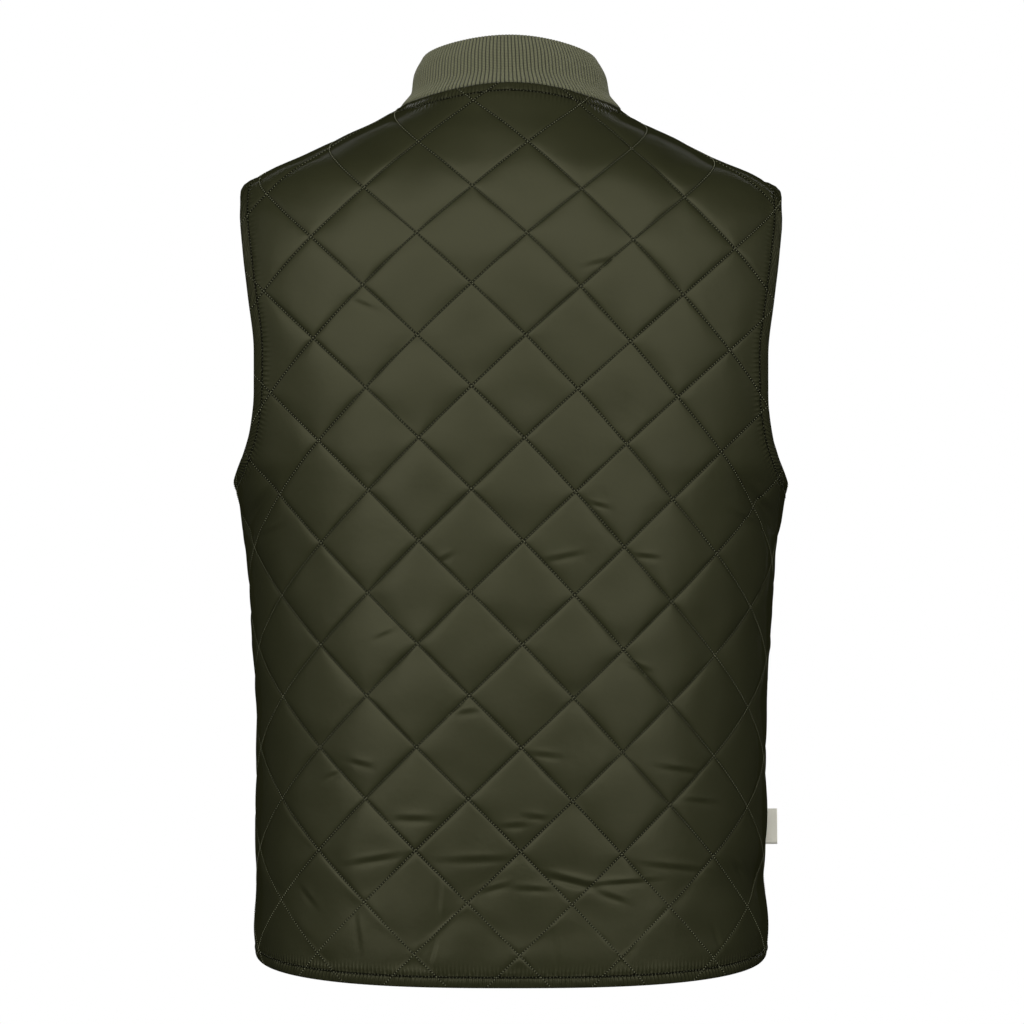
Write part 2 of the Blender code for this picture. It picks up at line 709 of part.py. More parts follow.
def collar_top(base):
    """Folded top edge: the neck seam drawn in and raised, with its heights eased along the band."""
    walked = np.concatenate([[0.0], np.cumsum(np.linalg.norm(np.diff(base, axis=0), axis=1))])
    share = np.exp(-((walked[:, None] - walked[None, :]) / COLLAR_TOP_EASE) ** 2)
    height = share @ base[:, 2] / share.sum(axis=1)
    across = base[:, 0] * COLLAR_LEAN_ACROSS
    deep = base[:, 1] * COLLAR_LEAN_DEEP
    return np.stack([across, deep, height + COLLAR_HEIGHT], axis=1)


def collar_level(base, upward, top, level):
    """Points of the collar's inner face at a level between the neck seam (0) and the top edge (1)."""
    bend = base + upward * COLLAR_BASE_RUN
    return base * (1 - level) ** 2 + bend * 2 * level * (1 - level) + top * level ** 2


def collar():
    """Rib stand collar: ribs raised on the outer face over a plain inside, rounded at the folded top."""
    across, height, raised = collar_stations()
    seam = TORSO.point(across, height)
    along = np.gradient(seam, axis=0)
    along = along / np.linalg.norm(along, axis=1, keepdims=True)
    outward = TORSO.normal(across, height)
    upward = np.cross(outward, along)
    upward = upward * np.sign(upward[:, 2:3])
    base = seam + upward * SEAM_GAP / 2
    top = collar_top(base)
    count = len(base)
    outer_rows = []
    inner_rows = []
    for level in COLLAR_LEVELS:
        here = collar_level(base, upward, top, level)
        above = collar_level(base, upward, top, level + LEVEL_STEP)
        rise = above - collar_level(base, upward, top, level - LEVEL_STEP)
        face = np.cross(rise, np.gradient(here, axis=0))
        face = face / np.linalg.norm(face, axis=1, keepdims=True)
        face = face * np.sign(np.sum(face * outward, axis=1))[:, None]
        round_off = COLLAR_TOP_ROUND if level == 1.0 else 0.0
        lift = COLLAR_INNER_WALL + RIB_HEIGHT * raised - round_off
        outer_rows.append(here + face * lift[:, None])
        inner_rows.append(here + face * round_off)
    per_rib = len(RIB_STATIONS)
    inner_rows = [row[::per_rib] for row in inner_rows]
    inner_count = len(inner_rows[0])
    points = np.vstack(outer_rows + inner_rows)
    shift = count * len(COLLAR_LEVELS)
    last = len(COLLAR_LEVELS) - 1
    faces = []
    for row in range(last):
        for i in range(count - 1):
            corner = row * count + i
            faces.append([corner, corner + 1, corner + count + 1])
            faces.append([corner, corner + count + 1, corner + count])
        for i in range(inner_count - 1):
            corner = shift + row * inner_count + i
            faces.append([corner, corner + inner_count + 1, corner + 1])
            faces.append([corner, corner + inner_count, corner + inner_count + 1])
        for outer_end, inner_end in ((0, 0), (count - 1, inner_count - 1)):
            a = row * count + outer_end
            b = shift + row * inner_count + inner_end
            faces.append([a, a + count, b + inner_count])
            faces.append([a, b + inner_count, b])
    for row in (0, last):
        for i in range(inner_count - 1):
            first = row * count + i * per_rib
            near = shift + row * inner_count + i
            far = near + 1
            faces.append([first, first + 1, near])
            faces.append([first + 1, far, near])
            for step in range(1, per_rib):
                faces.append([first + step, first + step + 1, far])
    return make_object("collar", points, faces, "rib_knit")


def zip_frame(height):
    """Point on the centre front, with the directions up the zip and out of it."""
    girth = float(half_girth(height))
    here = TORSO.point(girth, height)
    here[0] = 0.0
    above = TORSO.point(float(half_girth(height + NORMAL_STEP)), height + NORMAL_STEP)
    below = TORSO.point(float(half_girth(height - NORMAL_STEP)), height - NORMAL_STEP)
    up = above - below
    up[0] = 0.0
    up = up / np.linalg.norm(up)
    out = np.array([0.0, -up[2], up[1]])
    return here, up, out


def sweep(name, sections, slot, mirror):
    """Closed solid through a list of rings with the same number of corners."""
    count = len(sections[0])
    points = np.vstack(sections)
    if mirror:
        points = points * np.array([-1.0, 1.0, 1.0])
    faces = []
    for row in range(len(sections) - 1):
        for i in range(count):
            a = row * count + i
            b = row * count + (i + 1) % count
            faces.append([a, b, b + count])
            faces.append([a, b + count, a + count])
    faces.append(list(range(count))[::-1])
    faces.append([len(points) - count + i for i in range(count)])
    return make_object(name, points, faces, slot)


def zip_tape(name, mirror):
    """One tape with its row of teeth, cut back beside the box and the slider's post."""
    slider = slider_height()
    here, up, out = zip_frame(slider)
    post_low = slider + (SLIDER_HALF_LENGTH - POST_LENGTH - SEAM_GAP) * up[2]
    low = HEM_FRONT + BOX_HEIGHT
    top = NECK_FRONT_HEIGHT - SEAM_GAP
    tail = slider - 1.2 * SLIDER_HALF_LENGTH
    middle = np.linspace(low + 2 * SEAM_GAP, tail, int((tail - low) / ZIP_STEP))
    middle = np.append(middle, np.linspace(tail, post_low - SEAM_GAP, SLIDER_STATIONS)[1:])
    stations = [(HEM_FRONT, TEETH_CUT_BACK), (low + SEAM_GAP, TEETH_CUT_BACK)]
    stations += [(height, TEETH_GAP) for height in middle]
    stations += [(post_low, TEETH_CUT_BACK), (top, TEETH_CUT_BACK)]
    outer_edge = ZIP_HALF_OPENING - SEAM_GAP
    sections = []
    for height, inner_edge in stations:
        here, up, out = zip_frame(height)
        corners = ((inner_edge, TEETH_BOTTOM), (TEETH_HALF_WIDTH, TEETH_BOTTOM),
                   (TEETH_HALF_WIDTH, TAPE_BOTTOM), (outer_edge, TAPE_BOTTOM),
                   (outer_edge, TAPE_TOP), (TEETH_HALF_WIDTH, TAPE_TOP),
                   (TEETH_HALF_WIDTH, TEETH_TOP), (inner_edge, TEETH_TOP))
        sections.append(np.array([here + out * lift + np.array([x, 0.0, 0.0]) for x, lift in corners]))
    return sweep(name, sections, "zip_tape", mirror)


def slider_height():
    here, up, out = zip_frame(NECK_FRONT_HEIGHT)
    return NECK_FRONT_HEIGHT - SLIDER_BELOW_NECK * up[2]


def local_block(frame, profile, half_width):
    """Two rings of a profile given as (up, out) corners, each side of the middle plane."""
    here, up, out = frame
    ring = np.array([here + up * rise + out * lift for rise, lift in profile])
    aside = np.array([half_width, 0.0, 0.0])
    return [ring - aside, ring + aside]


def zip_box():
    frame = zip_frame(HEM_FRONT)
    profile = ((0.0, BOX_BOTTOM), (BOX_HEIGHT, BOX_BOTTOM), (BOX_HEIGHT, BOX_TOP), (0.0, BOX_TOP))
    block = local_block(frame, profile, BOX_HALF_WIDTH)
    return sweep("zip_box", block, "zip_metal", False)


def slider_levels():
    """Heights over the inner cloth face of the slider's plates and bridge."""
    front_low = TEETH_TOP + PLATE_GAP
    front_high = front_low + PLATE_THICKNESS
    back_high = TEETH_BOTTOM - PLATE_GAP
    back_low = back_high - PLATE_THICKNESS
    return back_low, back_high, front_low, front_high


def plate_loop(half_wide):
    """Slider plate outline as (x, up), broad at the post and narrower at the tail."""
    length = SLIDER_HALF_LENGTH
    half = ((SLIDER_TIP_HALF_WIDTH, -length), (half_wide, SLIDER_WAIST), (half_wide, SLIDER_SHOULDER),
            (SLIDER_NOSE_HALF_WIDTH, length))
    return half + tuple((-x, rise) for x, rise in reversed(half))


def bridge_profile(low, clear):
    """Arch over the pull's bar as (up, out) corners."""
    reach = BRIDGE_HALF_LENGTH
    inner = reach - BRIDGE_WALL
    crown = clear + BRIDGE_WALL
    return ((-reach, low), (-inner, low), (-inner, clear), (inner, clear), (inner, low),
            (reach, low), (reach, clear), (inner, crown), (-inner, crown), (-reach, clear))


def zip_slider():
    """Two plates joined by a post above the teeth, and a bridge for the pull."""
    frame = zip_frame(slider_height())
    back_low, back_high, front_low, front_high = slider_levels()
    body = slab("zip_slider", frame, plate_loop(SLIDER_HALF_WIDTH), front_low, front_high)
    tail = slab("slider_back", frame, plate_loop(SLIDER_HALF_WIDTH), back_low, back_high)
    post_low = SLIDER_HALF_LENGTH - POST_LENGTH
    post_high = SLIDER_HALF_LENGTH - POST_SETBACK
    post_loop = ((-POST_HALF_WIDTH, post_low), (POST_HALF_WIDTH, post_low),
                 (POST_HALF_WIDTH, post_high), (-POST_HALF_WIDTH, post_high))
    post = slab("slider_post", frame, post_loop, back_high - JOIN_OVERLAP, front_low + JOIN_OVERLAP)
    arch = bridge_profile(front_high - JOIN_OVERLAP, front_high + BRIDGE_CLEAR)
    bridge = sweep("slider_bridge", local_block(frame, arch, BRIDGE_HALF_WIDTH), "zip_metal", False)
    return join_solids(body, (tail, post, bridge))


def slab(name, frame, loop, low, high):
    """Flat plate from an (x, up) outline between two heights of a zip frame."""
    here, up, out = frame
    ring = np.array([here + np.array([x, 0.0, 0.0]) + up * rise for x, rise in loop])
    return sweep(name, [ring + out * low, ring + out * high], "zip_metal", False)


def join_solids(body, others):
    """One solid from overlapping ones."""
    for other in others:
        join = body.modifiers.new("join", "BOOLEAN")
        join.operation = "UNION"
        join.solver = "EXACT"
        join.object = other
    graph = bpy.context.evaluated_depsgraph_get()
    mesh = bpy.data.meshes.new_from_object(body.evaluated_get(graph))
    body.modifiers.clear()
    body.data = mesh
    for other in others:
        bpy.data.objects.remove(other)
    return body


def pull_loops():
    """Outline and eye of the pull tab as (x, up), with the bar under the bridge at the origin."""
    wide = PULL_HALF_WIDTH
    end = -PULL_LENGTH
    cut = PULL_CORNER
    neck = PULL_EYE_LENGTH + PULL_BAR
    eye_wide = PULL_EYE_HALF_WIDTH
    shoulder = eye_wide + PULL_LEG
    half = ((wide - cut, end), (wide, end + cut), (wide, -neck - cut), (shoulder, -neck + cut),
            (shoulder, PULL_BAR - PULL_BAR_CORNER), (shoulder - PULL_BAR_CORNER, PULL_BAR))
    outline = half + tuple((-x, rise) for x, rise in reversed(half))
    eye = ((-eye_wide, -neck), (eye_wide, -neck), (eye_wide, -PULL_BAR), (-eye_wide, -PULL_BAR))
    return np.array(outline), np.array(eye)


def zip_pull():
    """Flat tab with an eye that turns on the slider's bridge."""
    here, up, out = zip_frame(slider_height())
    bar_lift = slider_levels()[3] + BRIDGE_CLEAR / 2
    outline, eye = pull_loops()
    points = np.vstack([outline, eye])
    loops = [list(range(len(outline))), list(range(len(outline), len(points)))]
    flat, triangles = triangulate(points, [], loops, EXACT)
    faces = [list(face) for face in triangles]
    faces += [[corner + len(flat) for corner in face[::-1]] for face in triangles]
    for start, end in rim_edges(triangles):
        faces.append([end, start, start + len(flat)])
        faces.append([end, start + len(flat), end + len(flat)])
    across = np.array([1.0, 0.0, 0.0])
    middle = here + out * bar_lift
    sheet = middle + flat[:, :1] * across + flat[:, 1:] * up
    half = out * PULL_THICKNESS / 2
    return make_object("zip_pull", np.vstack([sheet + half, sheet - half]), faces, "zip_metal", middle)


def side_label():
    """Folded ribbon standing out of the wearer's right side seam."""
    sections = []
    for height in (LABEL_HEIGHT - LABEL_TALL / 2, LABEL_HEIGHT, LABEL_HEIGHT + LABEL_TALL / 2):
        across = -float(TORSO.back_girth(height))
        here = TORSO.point(across, height)
        out = TORSO.normal(across, height)
        near = STITCHED_THICKNESS + float(fold_depth(across, height)) + SEAM_GAP
        along = np.array([0.0, LABEL_THICKNESS / 2, 0.0])
        sections.append(np.array([here + out * near - along, here + out * LABEL_REACH - along,
                                  here + out * LABEL_REACH + along, here + out * near + along]))
    return sweep("side_label", sections, "label_ribbon", False)


def clear_scene():
    for thing in list(bpy.data.objects):
        bpy.data.objects.remove(thing)


def main():
    clear_scene()
    quilted_panel(Pattern(back_outline(), False), "back", False)
    quilted_panel(Pattern(front_outline(), True), "front_left", False)
    quilted_panel(Pattern(front_outline(), True), "front_right", True)
    collar()
    zip_tape("zip_tape_left", False)
    zip_tape("zip_tape_right", True)
    zip_slider()
    zip_pull()
    zip_box()
    side_label()


main()
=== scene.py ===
"""Dressed scene of the reversible quilted vest: cloth, sewing, rib collar, zip, label, light and camera.

Sizes are millimetres until a mesh is made. The wearer faces -Y with their left at +X, and
z = 0 is the side neck point. The picture shows the back, from +Y.
"""
import json
import math

import bpy
import numpy as np
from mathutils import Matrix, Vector
from mathutils.bvhtree import BVHTree
from mathutils.geometry import delaunay_2d_cdt
from mathutils.kdtree import KDTree

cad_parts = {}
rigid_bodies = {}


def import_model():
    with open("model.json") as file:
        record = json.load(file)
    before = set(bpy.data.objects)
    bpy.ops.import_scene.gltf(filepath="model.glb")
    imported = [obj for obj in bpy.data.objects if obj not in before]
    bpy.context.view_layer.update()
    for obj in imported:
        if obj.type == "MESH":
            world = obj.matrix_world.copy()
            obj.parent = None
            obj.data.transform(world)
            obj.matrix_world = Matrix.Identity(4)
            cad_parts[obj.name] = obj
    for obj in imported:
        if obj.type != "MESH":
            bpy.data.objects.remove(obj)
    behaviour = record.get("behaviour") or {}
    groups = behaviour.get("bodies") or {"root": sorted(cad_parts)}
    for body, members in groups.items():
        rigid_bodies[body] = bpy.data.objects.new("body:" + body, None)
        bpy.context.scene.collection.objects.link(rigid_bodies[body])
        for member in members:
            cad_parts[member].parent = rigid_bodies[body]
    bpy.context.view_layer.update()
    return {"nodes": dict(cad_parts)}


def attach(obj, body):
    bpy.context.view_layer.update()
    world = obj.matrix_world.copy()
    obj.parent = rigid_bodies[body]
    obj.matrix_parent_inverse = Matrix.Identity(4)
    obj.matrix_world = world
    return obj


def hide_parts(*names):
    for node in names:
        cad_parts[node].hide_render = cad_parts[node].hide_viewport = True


MM = 0.001

# Inner face of the worn cloth, one row for each level ring.
# back and front are the distances of the centre lines from y = 0, side is the y of the widest point.
SECTION_COLUMNS = ("height", "half_width", "back", "front", "side", "power")
SECTIONS = (
    (30, 50, 44, 8, 2, 2.00),
    (12, 65, 57, 18, 2, 2.00),
    (0, 77, 65, 27, 2, 2.00),
    (-12, 94, 72, 36, 1, 2.05),
    (-26, 124, 81, 47, 0, 2.10),
    (-40.8, 154, 88, 57, 0, 2.15),
    (-53.5, 184, 93, 66, 0, 2.20),
    (-64.8, 203, 96, 73, -1, 2.20),
    (-85, 215, 100, 84, -2, 2.25),
    (-115, 221, 104, 95, -4, 2.30),
    (-150, 222, 105.5, 103, -6, 2.30),
    (-190, 218, 107, 109, -8, 2.30),
    (-230, 211, 108, 113, -10, 2.30),
    (-258, 206, 109, 114, -11, 2.30),
    (-271, 201, 109.4, 114, -11, 2.30),
    (-300, 193.5, 110.3, 114, -10, 2.30),
    (-360, 187, 112, 114, -7, 2.30),
    (-460, 182.2, 115.5, 116, -4, 2.35),
    (-560, 183, 118.8, 120, -4, 2.40),
    (-640, 185.5, 121.2, 124, -4, 2.40),
)

# Hem level at the three upright lines
HEM_BACK = -627.0
HEM_SIDE = -613.0
HEM_FRONT = -620.0
HEM_POWER = 3.2

# Armhole: distance of its cut edges from the middle plane at each height
SHOULDER_TIP = -55.6
UNDERARM = -271.0
ARMHOLE_COLUMNS = ("height", "back_x", "front_x")
ARMHOLE = (
    (-55.6, 188.0, 188.0),
    (-65, 193.0, 191.5),
    (-80, 193.5, 190.0),
    (-110, 190.8, 183.0),
    (-140, 187.1, 176.0),
    (-180, 182.6, 172.0),
    (-210, 182.8, 175.0),
    (-235, 185.8, 185.0),
    (-252, 191.0, 196.0),
    (-264, 197.0, 200.5),
    (-271, 201.0, 201.0),
)

# Neck seam seen from above
NECK_HALF_WIDTH = 77.0
NECK_BACK = 57.0
NECK_FRONT = 78.0
NECK_SIDE = 2.0

# Quilting lattice
DIAMOND_WIDTH = 74.0
DIAMOND_HEIGHT = 72.25
DIAMOND_SIDE = math.hypot(DIAMOND_WIDTH, DIAMOND_HEIGHT) / 2
BACK_CROSSING_ACROSS = -9.0
BACK_CROSSING_HEIGHT = -242.9
FRONT_CROSSING_ACROSS = 24.0
FRONT_CROSSING_HEIGHT = -254.0

# Cloth and padding
STITCHED_THICKNESS = 3.0
PUFF_RISE = 0.36
PUFF_POWER = 38.0
DOME_RISE = 1.05
DOME_POWER = 4
PUFF_VARIES = 0.2
PUFF_CELL = 70.0
PADDING_FADE = 14.0
HEM_FLAT = 26.0
HEM_EASE = 75.0
HEM_RISE = 0.7
SEAM_GAP = 0.3
SEAM_LAP = 0.4
TOPSTITCH = {"hem": 7.5, "armhole": 8.6, "neck": 8.6, "front_neck": 6.6, "zip": 6.5}
SEAMS = ("side", "shoulder")
SEAM_BAND = 4.0

# How the rows of stitches draw closer together towards the neck and hang lower at the sides
ROW_BOW_FROM = 505.0
ROW_BOW_RUN = 105.0
ROW_BOW = 5.7
ROW_DROOP = 5.0
ROW_DROOP_ACROSS = 165.0
ROW_DROOP_END = 1.7
ROW_TILT = 0.014

# How the columns of the lattice spread over the shoulder blades and lean to one side
SPREAD_FROM = 330.0
SPREAD_RUN = 200.0
SPREAD = 0.055
LATTICE_LEAN_AT_HEM = 3.1
LATTICE_LEAN = -0.0095
LATTICE_ROUNDS = 8

# Places across the cloth, and where the even lattice has them
LATTICE_AT = (-1200, -260, -180, -110, -50, 0, 60, 120, 180, 260, 1200)
LATTICE_TAKEN = (-1210, -270, -188, -115.5, -51.5, 0, 60.5, 122, 184, 266, 1206)

# How the wearer's right side hangs a little lower than the left
HANG_DROP = 3.0
HANG_ACROSS = 130.0
HANG_FROM = -600.0
HANG_RUN = 220.0

# Largest soft folds of the body, inward where depth is negative; across runs from the centre back
FOLD_COLUMNS = ("across", "height", "half_length", "half_width", "depth", "tilt")
FOLDS = (
    (-70, -548, 95, 17, -0.35, 4),
    (120, -566, 80, 16, -0.35, -6),
    (-205, -560, 45, 15, -3.0, 8),
    (-200, -292, 40, 11, -3.2, 38),
    (205, -296, 38, 11, -2.8, -36),
    (20, -470, 85, 20, -0.5, -3),
    (330, -556, 90, 17, -3.0, 5),
    (-345, -540, 85, 17, -2.6, -6),
    (300, -300, 45, 13, -2.8, 40),
    (-300, -304, 45, 13, -2.8, -42),
)

# Small creases of the shell cloth, placed one by one; a ridge runs along one side of each
CREASES = (
    (67, -511, 11, 2.4, -1.3, 0),
    (-3, -515, 8, 2.0, -1.0, -4),
    (-16, -509, 7, 2.0, -0.9, 6),
    (24, -539, 19, 2.4, -1.2, -2),
    (96, -540, 16, 2.4, -1.1, -11),
    (-13, -559, 12, 2.0, -1.0, 3),
    (-42, -554, 16, 2.6, -1.9, 14),
    (-78, -555, 19, 2.0, -1.2, -3),
    (-118, -546, 19, 2.4, -1.2, 8),
    (-120, -476, 14, 2.4, -1.1, 10),
    (-136, -499, 12, 2.2, -0.9, 8),
    (-174, -549, 8, 2.4, -1.7, 38),
    (-70, -565, 10, 2.2, -0.9, 20),
    (50, -563, 12, 1.8, -0.7, 92),
    (108, -592, 12, 2.0, -0.8, 82),
    (55, -604, 9, 1.8, -0.7, 104),
    (9, -558, 10, 2.0, -0.8, -16),
    (148, -568, 9, 2.2, -1.0, 45),
    (126, -481, 7, 2.2, -0.9, -28),
    (106, -473, 8, 2.2, -0.8, 12),
    (-150, -596, 9, 2.0, -0.8, 66),
    (-30, -598, 12, 2.0, -0.6, 84),
    (-37, -327, 12, 2.2, -0.9, -14),
    (45, -328, 6, 1.8, -0.7, -30),
    (-96, -325, 7, 2.0, -0.9, 4),
    (-62, -290, 6, 1.8, -0.7, 12),
    (88, -382, 8, 2.0, -0.7, -24),
    (-88, -402, 9, 2.0, -0.7, 20),
    (30, -436, 9, 2.2, -0.7, -8),
    (-24, -466, 10, 2.2, -0.7, 6),
    (-196, -286, 22, 3.0, -1.5, 30),
    (-184, -300, 18, 2.6, -1.2, 18),
    (198, -290, 20, 3.0, -1.3, -32),
    (186, -310, 15, 2.4, -0.9, -16),
    (-60, -120, 9, 2.0, -0.6, -18),
    (104, -150, 10, 2.2, -0.7, 24),
    (318, -560, 22, 2.6, -1.2, -10),
    (352, -548, 15, 2.4, -1.0, 16),
    (286, -586, 14, 2.2, -0.8, 74),
    (338, -508, 10, 2.2, -1.0, 4),
    (300, -296, 20, 2.8, -1.2, 34),
    (376, -470, 11, 2.2, -0.8, -22),
    (-322, -566, 18, 2.4, -1.1, 12),
    (-362, -540, 20, 2.6, -1.1, -14),
    (-290, -590, 12, 2.2, -0.8, 104),
    (-346, -500, 9, 2.2, -0.9, -6),
    (-304, -298, 22, 2.8, -1.2, -36),
    (-388, -452, 12, 2.2, -0.8, 24),
)
CREASE_EASE = 0.68
CREASE_RIDGE_SHARE = 0.7
CREASE_RIDGE_AT = 1.7

# Uneven bulges along the side and shoulder seams
SEAM_PUCKER = 0.9
SEAM_PUCKER_CELL = 8.5
SEAM_PUCKER_REACH = 11.0
SEAM_PUCKER_TRACK = 40.0

# Smooth noise; a panel's spare cloth, its start and its bands take its seed and the two after it
NOISE_TABLE = 997
NOISE_GAIN = 1.9
PANEL_SEEDS = {"back": 11, "front_left": 23, "front_right": 37}
PUFF_SEED = 5
SEAM_PUCKER_SEED = 11
COLLAR_SEED = 71

# Sampling of the body surface and of the cut edges
GRID_ROWS = 620
GRID_STATIONS = 320
RING_FINE_STATIONS = 1280
LATTICE_STATIONS = 2401
NORMAL_STEP = 2.5
HEM_STATIONS = 120
ARMHOLE_STATIONS = 160
SHOULDER_STATIONS = 90
SEAM_STATIONS = 120
NECK_STATIONS = 120
NECK_FINE_STATIONS = 721
NECK_SEARCH = (-130.0, 29.0)
NECK_SEARCH_STEPS = 40
EDGE_STEP = 1.4
COARSE_STEP = 6.0
LOOP_EVERY = 3
NEIGHBOUR_EVERY = 4
EXACT = 1e-5
TINY = 1e-12
OTHER_SIDE = np.array([-1.0, 1.0])

# Shell cloth: links between two rows of stitches, and how it settles on the padding
LINKS = 24
ROW_CROWDING = 0.62
CREASE_FINE = 0.05
WHOLE_CELL = 0.99
SETTLE_ROUNDS = 420
PADDING_HOLD = 0.0024
BENDING = 0.0085
LINK_PULL = 0.35
DIAGONAL_PULL = 0.22
START_NOISE = 0.7
START_NOISE_CELL = 9.0
SPARE_CLOTH = 0.003
SPARE_VARIES = 0.55
SPARE_CELL = 36.0
SPARE_LIMITS = (0.0, 3.0)
LOW_SPARE_LIMITS = (0.2, 2.0)
LOW_SPARE_RISE = 190.0
LOW_SPARE_UPRIGHT = 0.012
HEM_SPARE_ACROSS = 0.03
HEM_SPARE_RISE = 26.0
CLOTH_CLEARANCE = 1.1
INNER_EVERY = 3
INNER_CLEARANCE = 4.0

# Edge bands: shares of the way from the cut edge to the stitching, and their section
BAND_SHARES = (0.0, 0.06, 0.17, 0.34, 0.52, 0.70, 0.87, 1.0)
LIP_EDGE = 1.5
LIP_STITCHED = 2.1
LIP_CROWN = 1.0
LIP_POWER = 0.6
SEAM_DIP = 0.9
SEAM_DIP_POWER = 4
INNER_EDGE_LIFT = 0.45
LIP_BLEND = 4
PUCKER_CELL = 3.6
PUCKER_DEPTH = 0.3
PUCKER_PITCH = 2.9
PUCKER_REACH = 4.5
PUCKER_ZIP_REACH = 18.0
PUCKER_ZIP_LESS = 0.86
PUCKER_CLEAR = 24.0
BAND_PUCKER_REACH = 10.0

# Sewing thread
STITCH_PITCH = 2.12
TOPSTITCH_PITCH = 2.4
STITCH_SHARE = 0.42
THREAD_RADIUS = 0.46
THREAD_LIFT = 0.2
THREAD_DIVE = 0.12
THREAD_BELLY = 0.324
THREAD_RISES_AT = (0.28, 0.72)
# Near-black patch of painted shade over each needle hole between stitches
HOLE_HALF_LENGTH = 0.58
HOLE_HALF_WIDTH = 0.62
HOLE_LIFT = 0.14
STITCH_MARGIN = 0.9
# Cap on the distance that sets the painted shade beside rows, and what is added to it where the cloth lies
# flat
ROW_SHADE_REACH = 4.0
FLAT_ROW_SHADE = 0.55

# Collar
COLLAR_HEIGHT = 37.0
COLLAR_LEAN_ACROSS = 0.785
COLLAR_LEAN_DEEP = 0.88
COLLAR_LEVELS = (0.0, 0.3, 0.65, 1.0)
COLLAR_LEANS = (0.0, 0.48, 0.60, 1.0)
COLLAR_SWAY = 1.0
COLLAR_END_GAP = 1.2
COLLAR_WALL = 2.0
COLLAR_TOP_EASE = 40.0
RIB_PITCH = 2.95
RIB_HEIGHT = 1.35
RIB_POWER = 0.5
RIB_COLUMNS = 8
INSIDE_RIB_HEIGHT = 0.5
COLLAR_ROWS = 26
COLLAR_CAP_ROWS = 7
COLLAR_INSIDE_ROWS = 10
COLLAR_CAP_LEVEL = 0.965
COLLAR_WANDER = 0.35
COLLAR_WANDER_CELL = 17.0
LEVEL_STEP = 0.01

# Zip
ZIP_HALF_OPENING = 6.0
TEETH_HALF_WIDTH = 2.6
TAPE_BOTTOM = 0.8
TAPE_TOP = 1.8
TAPE_EDGE_ROUND = 0.3
TAPE_NEAR = 0.1
TAPE_LOW_BOTTOM = 0.2
TAPE_LOW_TOP = 0.5
TAPE_TUCK = 1.0
TAPE_TUCKED_TOP = 1.1
TAPE_STEP = 5.0
TOOTH_PITCH = 2.4
TOOTH_HALF_HEIGHT = 0.55
TOOTH_BOTTOM = 0.15
TOOTH_TOP = 2.45
TOOTH_REACH = 0.45
TOOTH_CHAMFER = 0.35
TEETH_INTO_SLIDER = 0.4
BOX_HEIGHT = 9.0
SLIDER_BELOW_NECK = 9.0
SLIDER_HALF_LENGTH = 6.0
METAL_BEVEL = 0.35
METAL_BEVEL_SEGMENTS = 3

# One tooth from its head to the tape: distance from the middle, share of the half height, cut below and above
TOOTH_RINGS = (
    (-TOOTH_REACH, 0.6, 0.35),
    (0.2 - TOOTH_REACH, 0.95, 0.0),
    (0.5, 1.0, 0.0),
    (0.9, 0.7, 0.0),
    (TEETH_HALF_WIDTH - 0.3, 0.75, 0.0),
    (TEETH_HALF_WIDTH, 0.6, 0.3),
)

# Side label
LABEL_HEIGHT = -525.2
LABEL_TALL = 26.0
LABEL_REACH = 12.2
RIBBON_THICKNESS = 0.32
RIBBON_GAP = 0.16
LABEL_ROWS = 14
LABEL_COLUMNS = 12
LABEL_FOLD_STATIONS = 8
LABEL_WAVE = 0.5
LABEL_WAVE_TURN = 2.6
LABEL_WAVE_START = 0.4

# Darkest and palest colour of each material
COLOURS = {
    "quilted_nylon_satin": ((0.0205, 0.0215, 0.0093), (0.0297, 0.031, 0.0137)),
    "quilting_thread": ((0.125, 0.129, 0.074), (0.205, 0.21, 0.124)),
    "topstitch_thread": ((0.05, 0.052, 0.029), (0.085, 0.088, 0.05)),
    "needle_hole_painted_shade": ((0.006, 0.006, 0.0035), (0.012, 0.012, 0.007)),
    "rib_knit_cotton": ((0.092, 0.094, 0.051), (0.178, 0.181, 0.101)),
    "zip_tape_woven": ((0.018, 0.019, 0.011), (0.036, 0.038, 0.023)),
    "zip_teeth_moulded": ((0.045, 0.046, 0.028), (0.064, 0.066, 0.042)),
    "zip_metal_brushed": ((0.30, 0.295, 0.27), (0.50, 0.49, 0.455)),
    "label_ribbon_woven": ((0.93, 0.905, 0.765), (0.99, 0.97, 0.86)),
    "floor_paper": ((0.1, 0.1, 0.099), (0.13, 0.13, 0.129)),
}
BLACK = (0.0, 0.0, 0.0, 1.0)
WHITE = (1.0, 1.0, 1.0, 1.0)
NYLON_GLOSS = (1.0, 0.97, 0.66, 1.0)
FLOOR_GLOW = (1.0, 1.0, 0.99, 1.0)
FLOOR_GLOW_STRENGTH = 0.74

# Painted shade in the base colour along the rows of stitches and between the ribs: from and to where, and the
# least share of light
ROW_SHADE = (0.3, 1.2, 0.15)
RIB_SHADE = (0.25, 0.85, 0.16)

# Gloss of the nylon, full where it is seen face on and none where it is seen edge on
GLOSS_FADES = (0.28, 0.72)
GLOSS = 0.25

# Yarns by axis and pitch, and sizes of clouds and specks, in millimetres of cloth
NYLON_YARNS = (("X", 0.36), ("Y", 0.30))
NYLON_CLOUD = 46.0
NYLON_CRUMPLE = 7.0
PUCKER_WANDER = 1.5
RIB_LOOP = 1.25
RIB_LOOP_WANDER = 1.2
RIB_FUZZ = 0.5
RIBBON_YARNS = (("X", 0.42), ("Y", 0.34))
RIBBON_CLOUD = 5.0

# The same in metres, where a material reads the place in the object
TAPE_CORDS = (("Z", 0.0007), ("X", 0.0006))
THREAD_FIBRE = 0.0005
HOLE_SPECK = 0.001
TEETH_SPECK = 0.0012
METAL_GRAIN = 0.0012
METAL_GRAIN_SHAPE = (5.0, 1.0, 0.5)
METAL_WEAR = 0.004
FLOOR_CLOUD = 0.6

